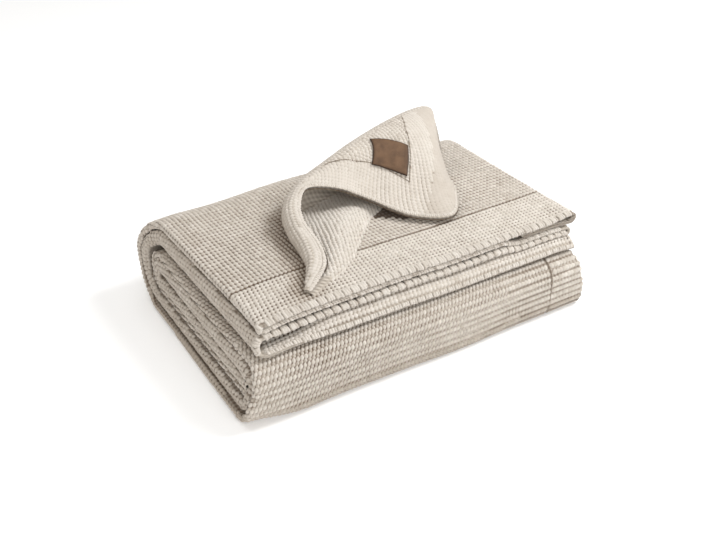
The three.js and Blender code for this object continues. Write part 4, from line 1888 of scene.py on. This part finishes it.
@dataclass
class LeatherLabel:
    """The bare square of leather on the turned-up corner, given by its four corners.

    Corners are rows and shares of the turned-up corner: upper left, upper right, lower right and
    lower left. The other fields are its thickness, the gap under it, the points along a side, and
    the shares of a side over which its edge is rounded off and dark.
    """

    corner: TurnedCorner
    corners: tuple[tuple[float, float], ...] = (
        (7.22, 0.452),
        (8.22, 0.338),
        (8.06, 0.193),
        (7.1, 0.255),
    )
    thickness: float = 1.6
    gap: float = 0.55
    points: int = 30
    rounding: float = 0.07
    rim: float = 0.05

    def build(self) -> bpy.types.Object:
        """Makes the label as a closed patch with softly rounded edges.

        Returns:
            The piece, riding on the root body in place of the label's solid.
        """
        share = np.linspace(0.0, 1.0, self.points)
        u, v = np.meshgrid(share, share, indexing="ij")
        a, b, c, d = (np.array(p) for p in self.corners)
        spot = (1 - v)[..., None] * ((1 - u)[..., None] * a + u[..., None] * b)
        spot = spot + v[..., None] * ((1 - u)[..., None] * d + u[..., None] * c)
        t, over = spot.reshape(-1, 2).T
        middle = self.corner.middle(t, over)
        normal = self.corner.frames(t, over)[3]
        near = np.minimum(np.minimum(u, 1 - u), np.minimum(v, 1 - v)).ravel()
        dip = np.clip(1.0 - near / self.rounding, 0.0, 1.0)
        low = self.corner.cloth / 2 + self.gap
        top = low + self.thickness * (1.0 - 0.45 * dip**2)
        place = np.concatenate((middle + normal * top[:, None], middle + normal * low))
        index = np.arange(self.points**2).reshape(self.points, self.points)
        p, q, r, s = index[:-1, :-1], index[1:, :-1], index[1:, 1:], index[:-1, 1:]
        upper = np.stack([g.ravel() for g in (p, s, r, q)], axis=1)
        lower = upper[:, ::-1] + self.points**2
        ring = np.concatenate((index[:-1, 0], index[-1, :-1], index[:0:-1, -1], index[0, :0:-1]))
        after = np.roll(ring, -1)
        wall = np.stack((ring, after, after + self.points**2, ring + self.points**2), axis=1)
        made = plain_mesh("leather_label", place, np.concatenate((upper, lower, wall)))
        made.data.polygons.foreach_set("use_smooth", np.ones(len(made.data.polygons), dtype=bool))
        rim = np.concatenate((np.clip(1.0 - near / self.rim, 0.0, 1.0), np.ones(self.points**2)))
        set_attribute(made.data, "rim", "FLOAT", rim)
        made.data.materials.append(LEATHER.material())
        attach(made, "root")
        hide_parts("label")
        return made


@dataclass(frozen=True)
class Lamp:
    """A square soft light: its name, place, side in metres, power in watts and colour."""

    name: str
    place: tuple[float, float, float]
    size: float
    power: float
    colour: tuple[float, float, float] = (0.985, 0.995, 1.0)

    def build(self) -> None:
        """Makes the light, facing the blanket."""
        light = bpy.data.lights.new(self.name, "AREA")
        light.size = self.size
        light.energy = self.power
        light.color = self.colour
        made = bpy.data.objects.new(self.name, light)
        made.location = self.place
        aim = Vector((0.0, 0.0, 0.06)) - made.location
        made.rotation_euler = aim.to_track_quat("-Z", "Y").to_euler()
        bpy.context.scene.collection.objects.link(made)


LAMPS = (
    Lamp("key", (0.85, -0.3, 1.2), 0.5, 14.0),
    Lamp("top", (-0.2, 0.9, 2.3), 2.0, 16.0),
    Lamp("front", (-0.1, -1.5, 0.8), 1.0, 9.0),
    Lamp("left", (-1.7, -0.3, 0.8), 1.2, 3.0, (1.0, 0.85, 0.68)),
)


@dataclass
class Studio:
    """White floor, soft lights and the camera at the photo's angle.

    Fields are the camera's azimuth and elevation in degrees, its lens in millimetres and its place,
    the strength and the colour of the light from all round, the floor's own glow and half its side.
    """

    azimuth: float = -31.5
    elevation: float = 33.0
    lens: float = 48.82
    camera_place: tuple[float, float, float] = (-0.4758, -0.78055, 0.6291)
    ambient: float = 0.42
    ambient_colour: tuple[float, float, float, float] = (1.0, 0.96, 0.91, 1.0)
    glow: float = 0.22
    half_floor: float = 6.0

    def floor(self) -> bpy.types.Object:
        """A white floor that is not part of the blanket.

        Returns:
            The floor.
        """
        mesh = bpy.data.meshes.new("floor")
        far = self.half_floor
        corners = [(-far, -far, 0), (far, -far, 0), (far, far, 0), (-far, far, 0)]
        mesh.from_pydata(corners, [], [(0, 1, 2, 3)])
        made = bpy.data.objects.new("floor", mesh)
        paint, _ = surface(
            "white floor",
            {
                "Base Color": (0.93, 0.94, 0.95, 1.0),
                "Emission Color": (1.0, 1.0, 1.0, 1.0),
                "Emission Strength": self.glow,
                "Roughness": 0.9,
                "Specular IOR Level": 0.1,
            },
        )
        mesh.materials.append(paint)
        bpy.context.scene.collection.objects.link(made)
        return made

    def camera(self) -> None:
        """The camera at the photo's angle."""
        lens = bpy.data.cameras.new("photo angle")
        lens.lens = self.lens
        lens.sensor_width = 36.0
        made = bpy.data.objects.new("photo angle", lens)
        made.location = self.camera_place
        turn, rise = math.radians(self.azimuth), math.radians(self.elevation)
        back = (math.sin(turn) * math.cos(rise), -math.cos(turn) * math.cos(rise), math.sin(rise))
        made.rotation_euler = Vector(back).to_track_quat("Z", "Y").to_euler()
        bpy.context.scene.collection.objects.link(made)
        bpy.context.scene.camera = made

    def build(self) -> None:
        """Sets up floor, world, lights and camera."""
        self.floor()
        scene = bpy.context.scene
        world = bpy.data.worlds.new("studio")
        world.use_nodes = True
        sky = world.node_tree.nodes["Background"]
        sky.inputs["Color"].default_value = self.ambient_colour
        sky.inputs["Strength"].default_value = self.ambient
        scene.world = world
        for lamp in LAMPS:
            lamp.build()
        scene.view_settings.view_transform = "Standard"
        self.camera()


def main() -> None:
    """Builds the blanket and its surroundings."""
    logging.basicConfig(level=logging.INFO, format="%(name)s: %(message)s")
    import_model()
    blanket = Blanket()
    pieces = blanket.build()
    pieces.append(LeatherLabel(blanket.corner).build())
    Studio().build()
    bpy.context.view_layer.update()
    for piece in pieces:
        log.info("%s: %d faces", piece.name, len(piece.data.polygons))


if __name__ == "__main__":
    main()
